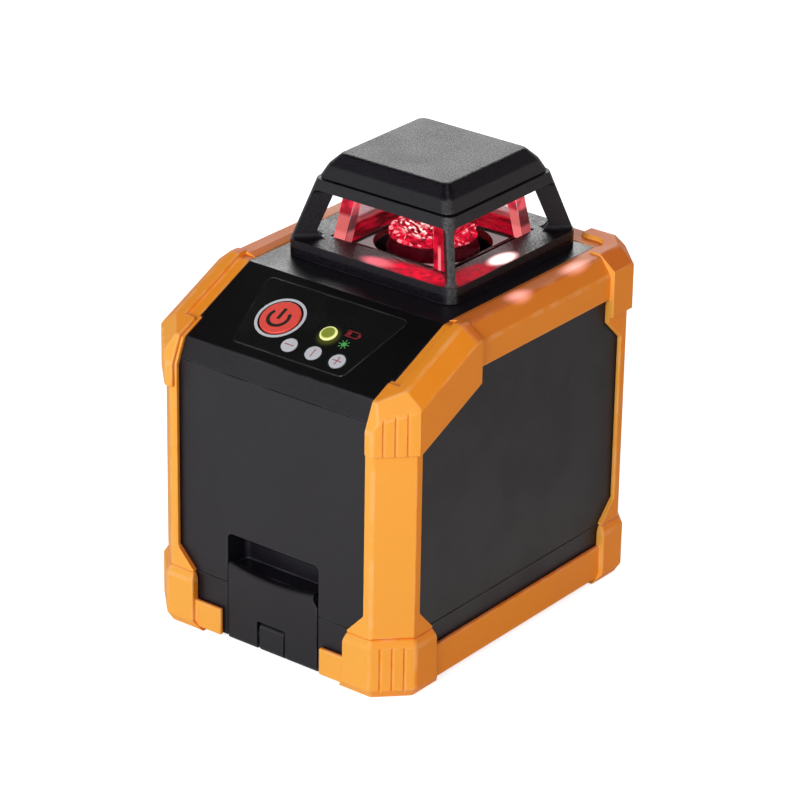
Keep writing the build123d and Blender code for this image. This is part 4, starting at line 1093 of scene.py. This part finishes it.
def window_glass(name, end_axis, face_axis, turn, ends):
    """Clear glass whose ends glow with painted laser light in a low, a middle and a high tone, with painted
    red and a pink highlight line by the near corner, and painted streaks, tints and glow on a far inner face.
    """
    made, tree, shader = new_material(name)
    touch = place_group(tree, handling, Span=0.01)
    place = object_place(tree)
    axes = parts_of(place)
    facing = facing_parts(tree)
    end = ramp(math_node("ABSOLUTE", facing[end_axis]), 0.6, 0.8)
    cloud = ramp(noise(place, 260.0, 3.0), 0.35, 0.62)
    # Painted laser light in the cut ends: a low, a middle and a high tone, with red flecks at the top.
    flecks = mix(cloud, tuple(c * 0.4 for c in ends[2]), ends[2])
    piped = mix(ramp(axes["Z"], *low_end_top), ends[0], ends[1])
    piped = mix(ramp(axes["Z"], *high_end_foot), piped, flecks)
    # Painted red on the near end, with a painted pink highlight line up its lower part.
    lean = times(math_node("SUBTRACT", axes["Z"], pane_foot), pane_lean)
    rightward = math_node("ADD", axes["X"], lean)
    near = ramp(rightward, 0.012, 0.013)
    near = times(near, math_node("LESS_THAN", axes["Y"], turret_middle.y))
    line = math_node("ABSOLUTE", math_node("SUBTRACT", rightward, line_place))
    line = ramp(line, 0.0003, 0.0007, 1.0, 0.0)
    line = times(line, ramp(axes["Z"], 0.119, 0.121, 1.0, 0.0))
    near_red = mix(cloud, *near_reds)
    piped = mix(near, piped, mix(line, near_red, line_red))
    # Painted laser light on a far pane's inner face: red streaks over a dark tint low down, and a faint
    # pinkish glow and pink tint above.
    depth = math_node("SUBTRACT", axes[face_axis], turret_middle["XY".index(face_axis)])
    far = math_node("LESS_THAN", times(depth, turn), 0.0)
    inner = times(ramp(times(facing[face_axis], turn), 0.6, 0.8), far)
    stretched = vector_node("MULTIPLY", place, streak_stretch)["Vector"]
    streak = ramp(noise(stretched, 1.0, 5.0), 0.38, 0.68)
    wash = mix(streak, *wash_reds)
    low_part = times(inner, ramp(axes["Z"], *wash_top))
    lit = mix(low_part, mix(inner, unlit, inner_glow), wash)
    light_up(shader, mix(end, lit, piped))
    tint = mix(touch["Smudge"], *clear_tones)
    tint = mix(low_part, mix(inner, tint, inner_glow_tint), wash_tone)
    tint = mix(end, tint, end_tone)
    polish = ramp(touch["Smudge"], 0.0, 1.0, 0.0, 0.02)
    wire(shader, Base_Color=tint, Roughness=ramp(end, 0.0, 1.0, polish, 0.5))
    wire(shader, Transmission_Weight=1.0, IOR=1.1)
    return made


side_ends = ((0.85, 0.2, 0.2), (0.66, 0.14, 0.135), (0.8, 0.015, 0.05))
cross_ends = ((0.44, 0.08, 0.09), (0.075, 0.02, 0.025), (0.75, 0.1, 0.12))
side_glass = window_glass("side_glass", "Y", "X", 1.0, side_ends)
cross_glass = window_glass("cross_glass", "X", "Y", -1.0, cross_ends)
panes = {"left": side_glass, "right": side_glass, "front": cross_glass, "rear": cross_glass}
for side, glass in panes.items():
    rounded_copy("window_" + side, side + "_pane", pane_round, glass, "window_glass", segments=2)


# Prism crown
# Cut glass crown on the pendulum, over the laser barrel: a plain wall below, and above it rings of
# facets round a sunk cone that throw the beam outwards. Its red glow, the white glints at the upper left
# and a dim glow below are painted laser light.
crown_low, crown_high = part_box("cone_prism")
crown_middle = (crown_low + crown_high) / 2
crown_radius = (crown_high.x - crown_low.x) / 2
crown_height = crown_high.z - crown_low.z
crown_sides = 22
# Radius and height of each ring, and its sway inwards and upwards, as shares of the crown's
crown_rings = [
    (1.0, 0.0, 0.0, 0.0),
    (1.0, 0.6, 0.0, 0.0),
    (0.96, 0.78, 0.04, 0.05),
    (0.84, 0.93, 0.06, 0.07),
    (0.62, 0.72, 0.05, 0.1),
    (0.34, 0.45, 0.04, 0.05),
]
cone_foot = 0.22
lit_from = 0.58
lit_full = 0.66


def crown_mesh():
    """Rings of points, pushed in and out by turns, with a closed floor and a point at the cone's foot."""
    shape = bmesh.new()
    rings = []
    for level, (radius, height, push, lift) in enumerate(crown_rings):
        outline = []
        for i in range(crown_sides):
            sway = 1 if (i + level) % 2 else -1
            z = crown_low.z + crown_height * min(1.0, height + lift * sway)
            outline.append((crown_radius * min(1.0, radius + push * sway), z))
        rings.append(round_ring(shape, crown_middle, outline, skip=0.5 * (level % 2)))
    for low, high in zip(rings, rings[1:]):
        for i in range(crown_sides):
            j = (i + 1) % crown_sides
            shape.faces.new((low[i], low[j], high[i]))
            shape.faces.new((low[j], high[j], high[i]))
    foot = shape.verts.new((0, crown_middle.y, crown_low.z + crown_height * cone_foot))
    for i in range(crown_sides):
        shape.faces.new((rings[-1][i], rings[-1][(i + 1) % crown_sides], foot))
    shape.faces.new(list(reversed(rings[0])))
    return finished_mesh(shape, "prism_crown")


crown_dim_glow = (0.02, 0.0, 0.001)
facet_glow_reds = ((0.12, 0.0, 0.002), (1.0, 0.004, 0.045))
facet_glints = ((1.0, 0.3, 0.34), (1.0, 0.88, 0.84))
deep_reds = ((0.01, 0.0005, 0.001), (0.05, 0.002, 0.004))
hot_patch = ((-6, 18, 116), (9, 9, 7))
crown_glow = 1.2
crown_glass, tree, shader = new_material("crown_glass")
place = object_place(tree)
cut = shader_node(tree, "ShaderNodeTexVoronoi", Vector=place, Scale=1000.0)
flash = parts_of(cut.outputs["Color"])["X"]
height = parts_of(place)["Z"]
# Painted laser light: the upper facets and the sunk cone glow red with white glints, brightest at the upper
# left, over a dim painted glow.
lit = ramp(height, crown_low.z + lit_from * crown_height, crown_low.z + lit_full * crown_height)
cone = glow_patch(place, crown_middle * 1000, (crown_radius * 1000, crown_radius * 1000, 1000))
lit = larger(lit, ramp(cone, 0.006, 0.032))
hot_side = glow_patch(place, *hot_patch)
sparkle = ramp(flash, ramp(hot_side, 0.0, 1.0, 0.84, 0.45), 0.88)
white = mix(hot_side, *facet_glints)
fire = mix(sparkle, mix(flash, *facet_glow_reds), white)
light_up(shader, mix(lit, crown_dim_glow, fire), crown_glow)
deep = mix(flash, *deep_reds)
polish = ramp(flash, 0.0, 1.0, 0.03, 0.12)
wire(shader, Base_Color=deep, Roughness=polish, Specular_IOR_Level=0.05)
stand_in(crown_mesh(), "prism_crown", "cone_prism", crown_glass, "prism_glass")
dress(crown_glass, "collimating_lens")

# Turret cap
# Black moulded cap pressed into the rim by a square plug, with a leaning skirt, leaning shoulders and a
# smooth top. Its edges are well rounded.
cap_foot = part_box("turret_cap")[0].z
# Half width and height of each corner in millimetres, and how far it is cut back for its round
cap_profile = [
    (19.0, 0.0, 0.0),
    (19.0, 1.8, 0.0),
    (22.2, 1.8, 0.0),
    (22.2, 2.1, 0.0),
    (25.2, 2.1, 0.4),
    (23.4, 5.9, 0.4),
    (20.0, 9.5, 0.8),
    (0.0, 9.5, 0.0),
]
skirt_top = cap_profile[5][1]
shoulder_top = cap_profile[6][1]
cap_corner_low = 3.4
cap_corner_top = 2.2
corner_steps = 6


def rounded_profile(points, steps=4):
    """Outline of (half width, height) points whose corners are cut back and rounded by a third value."""
    made = []
    for i, (half, rise, cut) in enumerate(points):
        corner = Vector((half, rise))
        if cut:
            before = corner + (Vector(points[i - 1][:2]) - corner).normalized() * cut
            after = corner + (Vector(points[i + 1][:2]) - corner).normalized() * cut
            for step in range(steps + 1):
                t = step / steps
                made.append(before.lerp(corner, t).lerp(corner.lerp(after, t), t))
        else:
            made.append(corner)
    return made


def square_ring(shape, half, corner, z):
    """Points of a rounded square round the turret's middle; its sizes are in millimetres, z in metres."""
    ring = []
    for quarter in range(4):
        for step in range(corner_steps + 1):
            turn = math.radians(90 * (quarter + step / corner_steps))
            centre = math.radians(90 * quarter + 45)
            x = math.copysign(half - corner, math.cos(centre)) + corner * math.cos(turn)
            y = math.copysign(half - corner, math.sin(centre)) + corner * math.sin(turn)
            ring.append(shape.verts.new((turret_middle.x + x / 1000, turret_middle.y + y / 1000, z)))
    return ring


def cap_mesh():
    """Skin between rounded squares that follow the profile, closed below and above."""
    shape = bmesh.new()
    rings = []
    for half, rise in rounded_profile(cap_profile)[:-1]:
        share = min(1.0, max(0.0, (rise - skirt_top) / (shoulder_top - skirt_top)))
        corner = cap_corner_low + (cap_corner_top - cap_corner_low) * share
        rings.append(square_ring(shape, half, corner, cap_foot + rise / 1000))
    close_rings(shape, rings)
    for face in shape.faces:
        face.smooth = True
    return finished_mesh(shape, "turret_lid")


cap_black, tree, shader = moulded_plastic(
    "cap_black", black_tone, grain=0.0005, depth=0.00014, roughness=0.4, spread=0.6,
    gloss=0.31, drift=0.02, grit=0.06,
)
# Painted pale highlight on the cap's front right corner.
paint_corner_highlight(shader)
matt_top = ramp(facing_parts(tree)["Z"], 0.9, 0.98, 0.0, 0.085)
wire(shader, Roughness=math_node("ADD", wired(shader, "Roughness"), matt_top))
keep_faces_flat(stand_in(cap_mesh(), "turret_lid", "turret_cap", cap_black, "black_plastic"))
